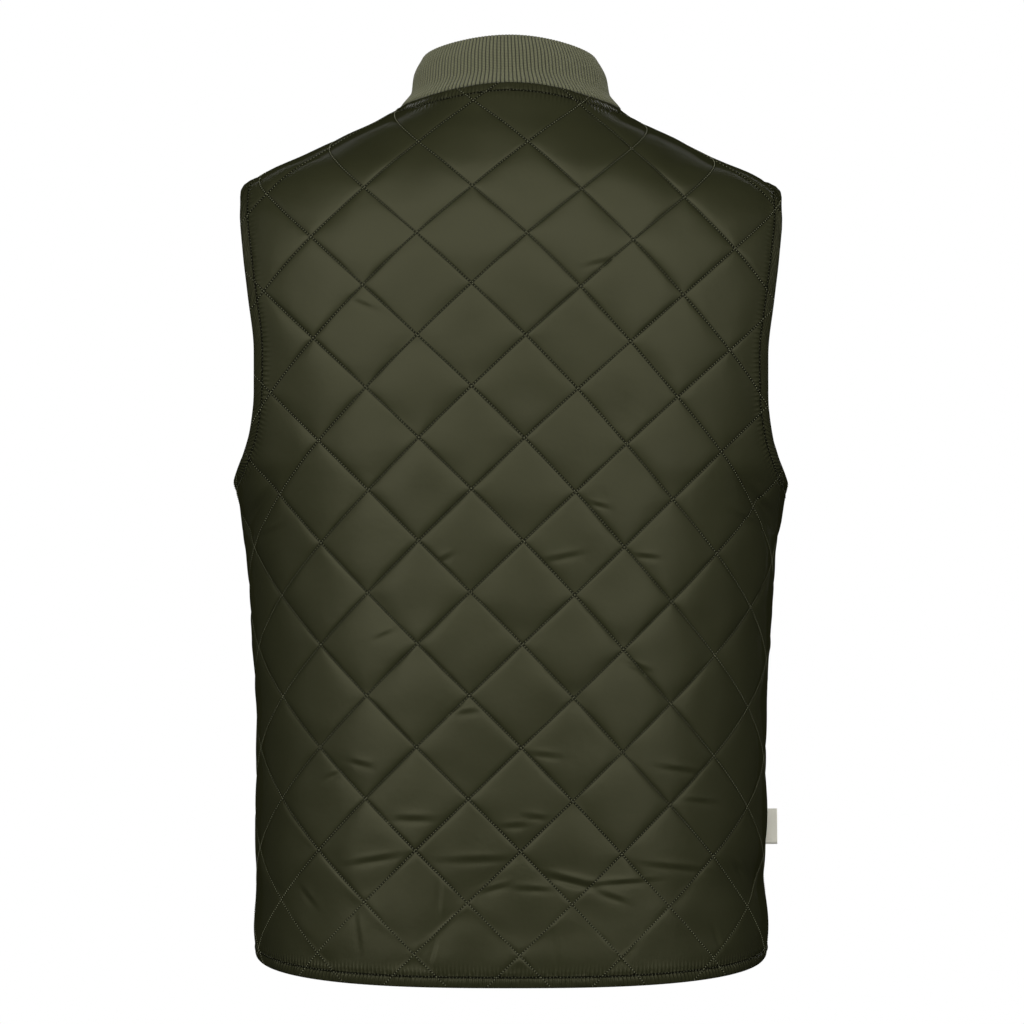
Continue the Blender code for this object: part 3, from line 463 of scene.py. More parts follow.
# Picture, in metres
CAMERA_PLACE = (-0.0007, 2.6, -0.295)
CAMERA_LENS = 125.0
FLOOR_LEVEL = -1.55
FLOOR_RADIUS = 4.5
FLOOR_STATIONS = 96
SURROUND_LIGHT = 0.05

# Place, aim, width and height of each light, and its power in watts
LIGHTS = {
    "wall_left": ((2.25, 3.0, 0.75), (2.25, 0.0, 0.75), (2.5, 2.9), 70.0),
    "wall_right": ((-2.15, 3.0, 0.75), (-2.15, 0.0, 0.75), (2.3, 2.9), 57.5),
    "wall_high": ((0.0, 3.0, 1.4), (0.0, 0.0, 1.4), (2.0, 2.8), 48.5),
    "wall_low": ((0.0, 3.0, -0.6), (0.0, 0.0, -0.6), (2.0, 1.2), 1.5),
    "top_box": ((0.1, 1.0, 2.2), (0.0, 0.0, -0.2), (1.4, 1.1), 1.4),
    "left_side": ((2.6, 0.8, 0.3), (0.0, 0.0, -0.3), (1.0, 2.0), 5.0),
    "right_side": ((-2.6, 0.8, 0.3), (0.0, 0.0, -0.3), (1.0, 2.0), 3.4),
    "chest_wall": ((-0.1, -3.0, 0.8), (-0.1, 0.0, 0.8), (3.4, 2.6), 105.0),
}


def smooth_table(x, table_x, table_y):
    """Monotone cubic through a short table with rising table_x."""
    table_x = np.asarray(table_x, float)
    table_y = np.asarray(table_y, float)
    run = np.diff(table_x)
    grade = np.diff(table_y) / run
    slope = np.zeros(len(table_x))
    slope[0] = grade[0]
    slope[-1] = grade[-1]
    same_way = grade[:-1] * grade[1:] > 0.0
    total = np.where(same_way, grade[:-1] + grade[1:], 1.0)
    slope[1:-1] = np.where(same_way, 2.0 * grade[:-1] * grade[1:] / total, 0.0)
    x = np.clip(x, table_x[0], table_x[-1])
    cell = np.clip(np.searchsorted(table_x, x) - 1, 0, len(run) - 1)
    t = (x - table_x[cell]) / run[cell]
    left = table_y[cell]
    right = table_y[cell + 1]
    left_slope = slope[cell] * run[cell]
    right_slope = slope[cell + 1] * run[cell]
    return (left * (1 + 2 * t) * (1 - t) ** 2 + left_slope * t * (1 - t) ** 2
            + right * t * t * (3 - 2 * t) + right_slope * t * t * (t - 1))


def smooth_step(t):
    t = np.clip(t, 0.0, 1.0)
    return t * t * (3.0 - 2.0 * t)


def table_column(rows, columns, name):
    return np.array([row[columns.index(name)] for row in rows], float)


def walked_lengths(line):
    """Distance along a polyline to each of its points."""
    steps = np.linalg.norm(np.diff(line, axis=0), axis=1)
    return np.concatenate([[0.0], np.cumsum(steps)])


def even_line(line, count):
    """The same polyline with evenly spaced points, both ends kept."""
    walked = walked_lengths(line)
    places = np.linspace(0.0, walked[-1], count)
    return np.stack([np.interp(places, walked, column) for column in line.T], axis=1)


def unit(vectors):
    return vectors / np.linalg.norm(vectors, axis=-1, keepdims=True)


def soft_noise(places, cell, seed):
    """Seeded smooth noise of about unit strength at an array of 2-D places, one feature for each cell."""
    spots = places / cell
    corner = np.floor(spots).astype(int)
    part = spots - corner
    table = np.random.default_rng(seed).standard_normal((NOISE_TABLE, NOISE_TABLE))
    weights = (
        (1 - part) ** 3 / 6,
        (3 * part ** 3 - 6 * part ** 2 + 4) / 6,
        (-3 * part ** 3 + 3 * part ** 2 + 3 * part + 1) / 6,
        part ** 3 / 6,
    )
    total = np.zeros(places.shape[:-1])
    for i, weight_x in enumerate(weights):
        for j, weight_y in enumerate(weights):
            row = (corner[..., 0] + i) % NOISE_TABLE
            column = (corner[..., 1] + j) % NOISE_TABLE
            total += weight_x[..., 0] * weight_y[..., 1] * table[row, column]
    return NOISE_GAIN * total


def line_noise(walked, cell, seed):
    """Smooth noise along a line."""
    return soft_noise(np.stack([walked, np.zeros(len(walked))], axis=1), cell, seed)


def even_ring(x, y):
    """Resample each row of a ring to even steps of length; returns lengths and points."""
    steps = np.hypot(np.diff(x, axis=1), np.diff(y, axis=1))
    walked = np.concatenate([np.zeros((len(x), 1)), np.cumsum(steps, axis=1)], axis=1)
    lengths = walked[:, -1]
    share = np.linspace(0.0, 1.0, GRID_STATIONS)
    even = []
    for column in (x, y):
        rows = zip(lengths, walked, column)
        even.append(np.array([np.interp(share * total, line, row) for total, line, row in rows]))
    return lengths, even[0], even[1]


class Torso:
    """Stacked rings of the inner cloth face, walked from the centre back round to the centre front."""

    def __init__(self):
        rows = SECTIONS[::-1]
        table_heights = table_column(rows, SECTION_COLUMNS, "height")
        self.heights = np.linspace(table_heights[0], table_heights[-1], GRID_ROWS)
        self.sizes = {}
        for name in SECTION_COLUMNS[1:]:
            values = table_column(rows, SECTION_COLUMNS, name)
            self.sizes[name] = smooth_table(self.heights, table_heights, values)
        width, back, front, side, power = (self.sizes[name][:, None] for name in SECTION_COLUMNS[1:])
        turn = np.linspace(0.0, math.pi / 2, RING_FINE_STATIONS)[None, :]
        sine = np.sin(turn) ** (2.0 / power)
        cosine = np.abs(np.cos(turn)) ** (2.0 / power)
        self.back_length, back_x, back_y = even_ring(width * sine, side + (back - side) * cosine)
        self.front_length, front_x, front_y = even_ring(width * cosine, side - (front + side) * sine)
        self.ring_x = np.concatenate([back_x, front_x[:, 1:]], axis=1)
        self.ring_y = np.concatenate([back_y, front_y[:, 1:]], axis=1)
        self.back_rise = self.centre_rise(self.ring_y[:, 0], HEM_BACK)
        self.front_rise = self.centre_rise(self.ring_y[:, -1], HEM_FRONT)

    def centre_rise(self, depth, hem):
        """Cloth length up a centre line, zero at the hem."""
        walked = walked_lengths(np.stack([self.heights, depth], axis=1))
        return walked - np.interp(hem, self.heights, walked)

    def size(self, name, height):
        return np.interp(height, self.heights, self.sizes[name])

    def back_girth(self, height):
        return np.interp(height, self.heights, self.back_length)

    def front_girth(self, height):
        return np.interp(height, self.heights, self.front_length)

    def row_at(self, height):
        """Ring at or below a height, and the share of the way to the next one."""
        row = (height - self.heights[0]) / (self.heights[1] - self.heights[0])
        low = np.clip(np.asarray(row).astype(int), 0, GRID_ROWS - 2)
        return low, row - low

    def point(self, across, height):
        """Point at a signed cloth distance from the centre back along the ring at a height."""
        across = np.asarray(across, float)
        height = np.clip(np.asarray(height, float), self.heights[0], self.heights[-1])
        walked = np.abs(across)
        back = self.back_girth(height)
        front = self.front_girth(height)
        share = np.where(walked < back, walked / back, 1.0 + (walked - back) / front)
        column = np.clip(share, 0.0, 2.0) * (GRID_STATIONS - 1)
        low_row, up = self.row_at(height)
        low_column = np.clip(column.astype(int), 0, self.ring_x.shape[1] - 2)
        on = column - low_column
        place = []
        for grid in (self.ring_x, self.ring_y):
            low = grid[low_row, low_column] * (1 - on) + grid[low_row, low_column + 1] * on
            high = grid[low_row + 1, low_column] * (1 - on) + grid[low_row + 1, low_column + 1] * on
            place.append(low * (1 - up) + high * up)
        return np.stack([np.where(across < 0, -place[0], place[0]), place[1], height], axis=-1)

    def normal(self, across, height):
        """Unit normal pointing away from the wearer."""
        along = self.point(across + NORMAL_STEP, height) - self.point(across - NORMAL_STEP, height)
        up = self.point(across, height + NORMAL_STEP) - self.point(across, height - NORMAL_STEP)
        return unit(np.cross(up, along))

    def across_at(self, x, height, front_half):
        """Cloth distance from the centre back to the place on a ring that is x from the middle plane."""
        low, up = self.row_at(height)
        ring = self.ring_x[low] * (1 - up) + self.ring_x[low + 1] * up
        share = np.linspace(0.0, 1.0, GRID_STATIONS)
        if front_half:
            walked = 1.0 - np.interp(x, ring[GRID_STATIONS - 1:][::-1], share)
            return float(self.back_girth(height) + self.front_girth(height) * walked)
        return float(self.back_girth(height) * np.interp(x, ring[:GRID_STATIONS], share))


TORSO = Torso()


LATTICE_ACROSS = np.linspace(LATTICE_AT[0], LATTICE_AT[-1], LATTICE_STATIONS)
LATTICE_DRAWN = smooth_table(LATTICE_ACROSS, LATTICE_AT, LATTICE_TAKEN)


def row_droop(across):
    """How much lower the rows of stitches hang away from the centre line, more on one side."""
    return ROW_DROOP * np.minimum(np.abs(across) / ROW_DROOP_ACROSS, ROW_DROOP_END) ** 2 - ROW_TILT * across


def column_spread(rise):
    """Share by which the columns of the lattice are closer in the cloth than on the body."""
    return 1.0 - SPREAD * smooth_step((rise - SPREAD_FROM) / SPREAD_RUN)


def column_lean(rise):
    """How far the columns of the lattice stand to one side."""
    return LATTICE_LEAN_AT_HEM + LATTICE_LEAN * rise


def half_girth(height):
    return TORSO.back_girth(height) + TORSO.front_girth(height)


def fold_frame(fold, across, height):
    """Places along and over a fold, in its own half length and half width."""
    tilt = math.radians(fold["tilt"])
    run = across - fold["across"]
    lift = height - fold["height"]
    along = (run * math.cos(tilt) + lift * math.sin(tilt)) / fold["half_length"]
    over = (lift * math.cos(tilt) - run * math.sin(tilt)) / fold["half_width"]
    return along, over


def fold_depth(across, height):
    """How far the soft folds move the cloth along its normal."""
    depth = np.zeros(np.shape(across))
    for row in FOLDS:
        fold = dict(zip(FOLD_COLUMNS, row))
        along, over = fold_frame(fold, across, height)
        depth += fold["depth"] * np.exp(-along ** 2 - over ** 2)
    return depth


def crease_depth(across, height):
    """Small creases: a narrow valley with a lower ridge beside it."""
    depth = np.zeros(np.shape(across))
    for row in CREASES:
        crease = dict(zip(FOLD_COLUMNS, row))
        along, over = fold_frame(crease, across, height)
        valley = np.exp(-over ** 2)
        ridge = CREASE_RIDGE_SHARE * np.exp(-(over - CREASE_RIDGE_AT) ** 2)
        depth += crease["depth"] * np.exp(-along ** 2) * (valley - ridge)
    return CREASE_EASE * depth


def seam_pucker(across, height):
    """Uneven bulges of the cloth along the side and shoulder seams."""
    gap = np.abs(across) - TORSO.back_girth(height)
    track = np.stack([SEAM_PUCKER_TRACK * np.sign(across), height], axis=-1)
    bulge = soft_noise(track, SEAM_PUCKER_CELL, SEAM_PUCKER_SEED)
    return SEAM_PUCKER * bulge * np.exp(-(gap / SEAM_PUCKER_REACH) ** 2)


def hang(points):
    """Points of the garment with the wearer's right side let down a little."""
    drop = HANG_DROP * smooth_step(-points[..., 0] / HANG_ACROSS)
    drop = drop * smooth_step((points[..., 2] - HANG_FROM) / HANG_RUN)
    moved = points.copy()
    moved[..., 2] -= drop
    return moved


def neck_seam(turn):
    """Across and height of the neck seam; turn is 0 at the centre back and pi at the centre front."""
    x = NECK_HALF_WIDTH * math.sin(turn)
    depth = NECK_FRONT + NECK_SIDE if math.cos(turn) < 0.0 else NECK_BACK - NECK_SIDE
    y = NECK_SIDE + depth * math.cos(turn)
    low, high = NECK_SEARCH
    for _ in range(NECK_SEARCH_STEPS):
        middle = 0.5 * (low + high)
        side = TORSO.size("side", middle)
        reach = TORSO.size("front", middle) + side if y < side else TORSO.size("back", middle) - side
        power = TORSO.size("power", middle)
        outside = (x / TORSO.size("half_width", middle)) ** power + (abs(y - side) / reach) ** power
        if outside > 1.0:
            high = middle
        else:
            low = middle
    return TORSO.across_at(x, middle, y < TORSO.size("side", middle)), middle


def neck_line(count, start, end):
    return np.array([neck_seam(turn) for turn in np.linspace(start, end, count)])


NECK_TURN_AT_SIDE = math.pi / 2
NECK_SIDE_HEIGHT = neck_seam(NECK_TURN_AT_SIDE)[1]
NECK_FRONT_HEIGHT = neck_seam(math.pi)[1]


def seam_line(heights, front_half):
    """Line beside the side or shoulder seam on one panel."""
    gap = SEAM_GAP / 2 if front_half else -SEAM_GAP / 2
    return np.stack([TORSO.back_girth(heights) + gap, heights], axis=1)


def armhole_line(front_half):
    """Cut edge of an armhole from the underarm up to the shoulder tip, as across and height."""
    rows = ARMHOLE[::-1]
    table_heights = table_column(rows, ARMHOLE_COLUMNS, "height")
    edges = table_column(rows, ARMHOLE_COLUMNS, "front_x" if front_half else "back_x")
    turns = np.linspace(0.0, math.pi, ARMHOLE_STATIONS)
    heights = UNDERARM + (SHOULDER_TIP - UNDERARM) * 0.5 * (1.0 - np.cos(turns))
    reach = smooth_table(heights, table_heights, edges)
    across = np.array([TORSO.across_at(x, height, front_half) for x, height in zip(reach, heights)])
    seam = seam_line(heights, front_half)[:, 0]
    across = np.maximum(across, seam) if front_half else np.minimum(across, seam)
    across[0] = seam[0]
    across[-1] = seam[-1]
    return np.stack([across, heights], axis=1)


def shared_edges(front_half):
    """Side seam, armhole and shoulder seam of one panel, walked upwards."""
    side = seam_line(np.linspace(HEM_SIDE, UNDERARM, SEAM_STATIONS), front_half)
    top = NECK_SIDE_HEIGHT - SEAM_GAP
    shoulder = seam_line(np.linspace(SHOULDER_TIP, top, SHOULDER_STATIONS), front_half)
    return [("side", side), ("armhole", armhole_line(front_half)), ("shoulder", shoulder)]


def hem_line(across, share, level):
    """Hem from its level at a centre line to its level at the side seam."""
    return np.stack([across, level + (HEM_SIDE - level) * share ** HEM_POWER], axis=1)


def neck_edge(shoulder, last_turn):
    """Neck edge of a panel from the end of its shoulder seam to its centre line."""
    neck = neck_line(NECK_STATIONS, NECK_TURN_AT_SIDE, last_turn)
    neck[:, 1] -= SEAM_GAP / 2
    neck[0] = shoulder[-1]
    return neck


def back_edges():
    """Named edges of the back, walked anticlockwise in the flat from one end of the hem."""
    half = shared_edges(False)
    corner = half[0][1][0, 0]
    hem_across = np.linspace(-corner, corner, 2 * HEM_STATIONS)
    hem = hem_line(hem_across, np.abs(hem_across) / corner, HEM_BACK)
    neck = neck_edge(half[2][1], 0.0)
    neck = np.vstack([neck, neck[-2::-1] * OTHER_SIDE])
    mirrored = [(name, line[::-1] * OTHER_SIDE) for name, line in reversed(half)]
    return [("hem", hem)] + half + [("neck", neck)] + mirrored


def front_edges():
    """Named edges of a front; across is still measured from the centre back."""
    half = shared_edges(True)
    side_across = half[0][1][0, 0]
    zip_across = half_girth(HEM_FRONT) - ZIP_HALF_OPENING
    hem_across = np.linspace(zip_across, side_across, HEM_STATIONS)
    hem = hem_line(hem_across, (zip_across - hem_across) / (zip_across - side_across), HEM_FRONT)
    neck = neck_edge(half[2][1], math.pi)
    from_front = half_girth(neck[:, 1]) - neck[:, 0]
    top_height = float(np.interp(ZIP_HALF_OPENING, from_front[::-1], neck[::-1, 1]))
    zip_heights = np.linspace(top_height, HEM_FRONT, SEAM_STATIONS)
    zip_edge = np.stack([half_girth(zip_heights) - ZIP_HALF_OPENING, zip_heights], axis=1)
    neck = np.vstack([neck[from_front > ZIP_HALF_OPENING + EDGE_STEP], zip_edge[:1]])
    return [("hem", hem)] + half + [("front_neck", neck), ("zip", zip_edge)]


def line_distance(points, line):
    """Distance from each point to a polyline."""
    nearest = np.full(len(points), np.inf)
    for start, end in zip(line[:-1], line[1:]):
        step = end - start
        share = np.clip((points - start) @ step / max(step @ step, TINY), 0.0, 1.0)
        foot = start + share[:, None] * step
        nearest = np.minimum(nearest, np.linalg.norm(points - foot, axis=1))
    return nearest


def inside_loop(points, loop):
    """Even-odd test of points against a closed loop."""
    inside = np.zeros(len(points), bool)
    for start, end in zip(loop, np.roll(loop, -1, axis=0)):
        spans = (start[1] > points[:, 1]) != (end[1] > points[:, 1])
        rise = end[1] - start[1] if end[1] != start[1] else 1.0
        meets = start[0] + (points[:, 1] - start[1]) * (end[0] - start[0]) / rise
        inside ^= spans & (points[:, 0] < meets)
    return inside


def inward_normals(line):
    """Normals to the left of a line, which is inward for an anticlockwise outline."""
    run = unit(np.gradient(line, axis=0))
    return np.stack([-run[:, 1], run[:, 0]], axis=1)


def mitre_points(edges):
    """Inner corner at the start of each edge, at both neighbours' band widths from their edges."""
    corners = []
    for (name_before, before), (name, line) in zip([edges[-1]] + edges[:-1], edges):
        normals = np.stack([inward_normals(before)[-1], inward_normals(line)[0]])
        widths = np.array([band_width(name_before), band_width(name)])
        corners.append(line[0] + np.linalg.solve(normals, widths))
    return corners


def band_width(name):
    return TOPSTITCH.get(name, SEAM_BAND)


class Panel:
    """Flat cut of one panel, its quilting lattice and the way from the cut to the body.

    Flat places are the distance from the panel's own centre line and the rise up that line from the hem.
    """

    def __init__(self, edges, front_half, mirror):
        self.front_half = front_half
        self.mirror = np.array([-1.0 if mirror else 1.0, 1.0, 1.0])
        self.rise_table = TORSO.front_rise if front_half else TORSO.back_rise
        crossing_height = FRONT_CROSSING_HEIGHT if front_half else BACK_CROSSING_HEIGHT
        self.crossing_across = FRONT_CROSSING_ACROSS if front_half else BACK_CROSSING_ACROSS
        self.crossing_rise = float(np.interp(crossing_height, TORSO.heights, self.rise_table))
        bowed = smooth_step((self.rise_table - ROW_BOW_FROM) / ROW_BOW_RUN)
        self.bowed_rise = self.rise_table + ROW_BOW * bowed
        self.edges = []
        for name, line in edges:
            flat = self.flatten(line[:, 0], line[:, 1])
            self.edges.append((name, even_line(flat, int(walked_lengths(flat)[-1] / EDGE_STEP) + 2)))
        self.make_bands()

    def flatten(self, across, height):
        rise = np.interp(height, TORSO.heights, self.rise_table)
        if self.front_half:
            across = half_girth(height) - across
        return np.stack([across, rise], axis=1)

    def body_place(self, flat):
        """Across from the centre back and height for flat points."""
        height = np.interp(flat[..., 1], self.rise_table, TORSO.heights)
        across = half_girth(height) - flat[..., 0] if self.front_half else flat[..., 0]
        return across, height

    def wrap(self, flat, thickness):
        """Points of the garment for flat places; the creases of the mirrored front differ."""
        across, height = self.body_place(flat)
        worn_across = across * self.mirror[0]
        lift = np.asarray(thickness)
        for form in (fold_depth, crease_depth, seam_pucker):
            lift = lift + form(worn_across, height)
        points = TORSO.point(across, height) + TORSO.normal(across, height) * lift[..., None]
        return hang(points * self.mirror)

    def make_bands(self):
        """Matching loops of points on the cut edge and on the stitching inside it; seamed edges lap."""
        corners = mitre_points(self.edges)
        outer = []
        inner = []
        lip = []
        for i, (name, line) in enumerate(self.edges):
            moved = line + inward_normals(line) * band_width(name)
            clear = np.ones(len(moved), bool)
            for j in (i - 1, (i + 1) % len(self.edges)):
                other_name, other = self.edges[j]
                clear &= line_distance(moved, other[::NEIGHBOUR_EVERY]) > band_width(other_name) + EDGE_STEP
            ends = [corners[i]], [corners[(i + 1) % len(corners)]]
            moved = even_line(np.vstack([ends[0], moved[clear], ends[1]]), len(line))
            lap = 0.0 if name in TOPSTITCH else SEAM_LAP
            outer.append((line - inward_normals(line) * lap)[:-1])
            inner.append(moved[:-1])
            lip.append(np.full(len(line) - 1, 1.0 if name in TOPSTITCH else 0.0))
        self.outline = np.vstack(outer)
        self.stitched = np.vstack(inner)
        lip = np.concatenate(lip)
        near = range(-LIP_BLEND, LIP_BLEND + 1)
        self.lip = np.mean([np.roll(lip, shift) for shift in near], axis=0)

    def quilt_place(self, flat):
        """Diamond coordinates, whole numbers on the rows of stitches."""
        across = flat[..., 0] - column_lean(flat[..., 1])
        drawn = np.interp(across, LATTICE_ACROSS, LATTICE_DRAWN) * column_spread(flat[..., 1])
        run = (drawn - self.crossing_across) / DIAMOND_WIDTH
        bowed = np.interp(flat[..., 1], self.rise_table, self.bowed_rise) + row_droop(flat[..., 0])
        lift = (bowed - self.crossing_rise) / DIAMOND_HEIGHT
        return np.stack([run + lift, run - lift], axis=-1)

    def quilt_reach(self, loop):
        """Lowest and highest row of stitches round a loop, in both directions."""
        reach = self.quilt_place(loop)
        return np.floor(reach.min(axis=0)).astype(int), np.ceil(reach.max(axis=0)).astype(int)

    def quilt_point(self, first, second):
        """Flat point with the given diamond coordinates."""
        drawn = self.crossing_across + DIAMOND_WIDTH * 0.5 * (first + second)
        lift = self.crossing_rise + DIAMOND_HEIGHT * 0.5 * (first - second)
        across = drawn
        for _ in range(LATTICE_ROUNDS):
            rise = self.unbowed(lift - row_droop(across))
            even = np.interp(drawn / column_spread(rise), LATTICE_DRAWN, LATTICE_ACROSS)
            across = even + column_lean(rise)
        return np.stack([across, self.unbowed(lift - row_droop(across))], axis=-1)

    def unbowed(self, bowed):
        """Rise up the cloth for a height in the even lattice."""
        beyond = np.where(bowed > self.bowed_rise[-1], bowed - self.bowed_rise[-1], 0.0)
        beyond = beyond + np.where(bowed < self.bowed_rise[0], bowed - self.bowed_rise[0], 0.0)
        return np.interp(bowed, self.bowed_rise, self.rise_table) + beyond

    def edge_distance(self, flat, names):
        """Distance from flat points to the nearest of the named edges."""
        skip = max(1, int(COARSE_STEP / EDGE_STEP))
        nearest = np.full(len(flat), np.inf)
        for name, line in self.edges:
            if name in names:
                coarse = np.vstack([line[:-1:skip], line[-1:]])
                nearest = np.minimum(nearest, line_distance(flat, coarse))
        return nearest

    def row_distance(self, flat):
        """Distance from flat points to the nearest row of quilting stitches."""
        place = self.quilt_place(flat)
        return np.abs(place - np.round(place)).min(axis=-1) * DIAMOND_SIDE

    def puffed(self, flat):
        """Share of the full puff, less and less towards the hem."""
        return smooth_step((self.edge_distance(flat, ("hem",)) - HEM_FLAT) / HEM_EASE)

    def padding(self, flat):
        """Rise of the padding: puffed between rows of stitches, even above the hem, pressed towards edges."""
        place = self.quilt_place(flat)
        across_diamond = np.abs(2.0 * (place - np.floor(place)) - 1.0)
        puff = PUFF_RISE * np.prod(1.0 - across_diamond ** PUFF_POWER, axis=1)
        puff += DOME_RISE * np.prod(1.0 - across_diamond ** DOME_POWER, axis=1)
        puff *= 1.0 + PUFF_VARIES * soft_noise(flat, PUFF_CELL, PUFF_SEED)
        puffed = self.puffed(flat)
        rise = puff * puffed + HEM_RISE * (1.0 - puffed)
        for name, offset in TOPSTITCH.items():
            rise = rise * smooth_step((self.edge_distance(flat, (name,)) - offset) / PADDING_FADE)
        return rise * smooth_step(self.edge_distance(flat, SEAMS) / PADDING_FADE)


def neighbours(values, mode):
    """A grid's values moved over from its four neighbours; mode says what lies past its edge."""
    wide = np.pad(values, 1, mode=mode)
    return wide[:-2, 1:-1], wide[2:, 1:-1], wide[1:-1, :-2], wide[1:-1, 2:]


def neighbour_sum(values):
    """Sum of the differences to the four neighbours on a grid."""
    return sum(neighbours(values, "edge")) - 4 * values


def spare_cloth(flat, seed):
    """Share of spare shell cloth across and upright: uneven, more in the lowest part."""
    vary = 1.0 + SPARE_VARIES * soft_noise(flat, SPARE_CELL, seed)
    even = SPARE_CLOTH * np.clip(vary, *SPARE_LIMITS)
    low = smooth_step(1.0 - flat[..., 1] / LOW_SPARE_RISE)
    hem = smooth_step(1.0 - flat[..., 1] / HEM_SPARE_RISE)
    upright = even + LOW_SPARE_UPRIGHT * low * np.clip(vary, *LOW_SPARE_LIMITS)
    return even + HEM_SPARE_ACROSS * hem, upright


def settle_cloth(flat, target, free, seed):
    """Shell cloth with spare length, held at the stitches, comes to rest on its padding.

    Every round draws the cloth to its padding, eases its bends and brings its links to their length.
    """
    across, upright = spare_cloth(flat, seed)
    mixed = 0.5 * (across + upright)
    every = slice(None)
    low = slice(None, -1)
    high = slice(1, None)
    kinds = (
        ((low, every), (high, every), mixed, LINK_PULL),
        ((every, low), (every, high), mixed, LINK_PULL),
        ((low, low), (high, high), across, DIAGONAL_PULL),
        ((low, high), (high, low), upright, DIAGONAL_PULL),
    )
    padded = np.concatenate([flat, target[..., None]], axis=-1)
    links = []
    for near, far, spare, pull in kinds:
        length = np.linalg.norm(padded[far] - padded[near], axis=-1) * (1.0 + spare[near])
        share = pull / np.maximum(free[near] + free[far], TINY)
        links.append((near, far, length, share))
    points = padded.copy()
    points[..., 2] += START_NOISE * free * soft_noise(flat, START_NOISE_CELL, seed + 1)
    height = points[..., 2]
    for _ in range(SETTLE_ROUNDS):
        bend = neighbour_sum(neighbour_sum(height) * free)
        height += free * (PADDING_HOLD * (target - height) - BENDING * bend)
        for near, far, length, share in links:
            gap = points[far] - points[near]
            now = np.sqrt(np.einsum("ijk,ijk->ij", gap, gap))
            shift = (share * (now - length) / now)[..., None] * gap
            points[near] += shift * free[near][..., None]
            points[far] -= shift * free[far][..., None]
    return points


def crowded(places):
    """Diamond coordinates drawn towards the rows of stitches, which stay where they are."""
    return places - ROW_CROWDING * np.sin(2 * math.pi * places) / (2 * math.pi)


def lattice(panel):
    """Flat places of the shell cloth's grid, which lie on rows of stitches, and which are coarse."""
    low, high = panel.quilt_reach(panel.stitched)
    first = np.arange(low[0] * LINKS, high[0] * LINKS + 1)
    second = np.arange(low[1] * LINKS, high[1] * LINKS + 1)
    grid_first, grid_second = np.meshgrid(first, second, indexing="ij")
    flat = panel.quilt_point(crowded(grid_first / LINKS), crowded(grid_second / LINKS))
    on_row = (grid_first % LINKS == 0) | (grid_second % LINKS == 0)
    coarse = (grid_first % INNER_EVERY == 0) & (grid_second % INNER_EVERY == 0)
    return flat, on_row, coarse


def point_tree(points):
    """Search tree of flat points."""
    tree = KDTree(len(points))
    for i, (x, y) in enumerate(points):
        tree.insert((x, y, 0.0), i)
    tree.balance()
    return tree


def clear_inside(flat, loop, clearance):
    """Which places of a grid lie inside a closed loop and clear of it."""
    places = flat.reshape(-1, 2)
    inside = inside_loop(places, loop[::LOOP_EVERY])
    tree = point_tree(loop)
    for i in np.flatnonzero(inside):
        inside[i] = tree.find((places[i, 0], places[i, 1], 0.0))[2] > clearance
    return inside.reshape(flat.shape[:-1])


def topstitch_places(panel, flat):
    """Distance from flat points to the topstitching, and how far along it the nearest place is."""
    sewn = panel.lip > 0.5
    line = panel.stitched[sewn]
    run = unit(np.gradient(panel.stitched, axis=0))[sewn]
    tree = point_tree(line)
    found = [tree.find((x, y, 0.0)) for x, y in flat]
    nearest = np.array([hit[1] for hit in found])
    past = np.sum((flat - line[nearest]) * run[nearest], axis=1)
    return np.array([hit[2] for hit in found]), walked_lengths(panel.outline)[sewn][nearest] + past


def triangulate(points, ring):
    """Triangles inside a closed ring of points that come first in the list; no point is added or merged."""
    coords = [Vector((float(x), float(y))) for x, y in points]
    result = delaunay_2d_cdt(coords, [], [list(range(ring))], 0, EXACT, True)
    source = np.array([ids[0] for ids in result[3]])
    faces = source[np.array([face for face, inside in zip(result[2], result[5]) if inside])]
    first = points[faces[:, 1]] - points[faces[:, 0]]
    second = points[faces[:, 2]] - points[faces[:, 0]]
    clockwise = first[:, 0] * second[:, 1] < first[:, 1] * second[:, 0]
    faces[clockwise] = faces[clockwise][:, ::-1]
    return faces


def between_nodes(values):
    """Means of a grid's values halfway along its links and in the middles of its cells."""
    return (0.5 * (values[1:] + values[:-1]), 0.5 * (values[:, 1:] + values[:, :-1]),
            0.25 * (values[1:, 1:] + values[1:, :-1] + values[:-1, 1:] + values[:-1, :-1]))


def crease_nodes(panel, grid, settled, kept):
    """Extra places between the grid's own, flat and settled, where small creases need finer cloth."""
    flat = []
    laid = []
    fields = (grid, settled, kept.astype(float))
    for rest, moved, whole in zip(*(between_nodes(field) for field in fields)):
        across, height = panel.body_place(rest)
        creased = np.abs(crease_depth(across * panel.mirror[0], height)) > CREASE_FINE
        chosen = creased & (whole > WHOLE_CELL)
        flat.append(rest[chosen])
        laid.append(moved[chosen])
    return np.vstack(flat), np.vstack(laid)


def pucker_share(panel, flat):
    """Share of the full puckers: few along the zip, none where an edge meets the shoulder seam."""
    at_zip = np.exp(-(panel.edge_distance(flat, ("zip",)) / PUCKER_ZIP_REACH) ** 2)
    at_shoulder = panel.edge_distance(flat, ("shoulder",))
    return (1.0 - PUCKER_ZIP_LESS * at_zip) * smooth_step((at_shoulder - SEAM_BAND) / PUCKER_CLEAR)


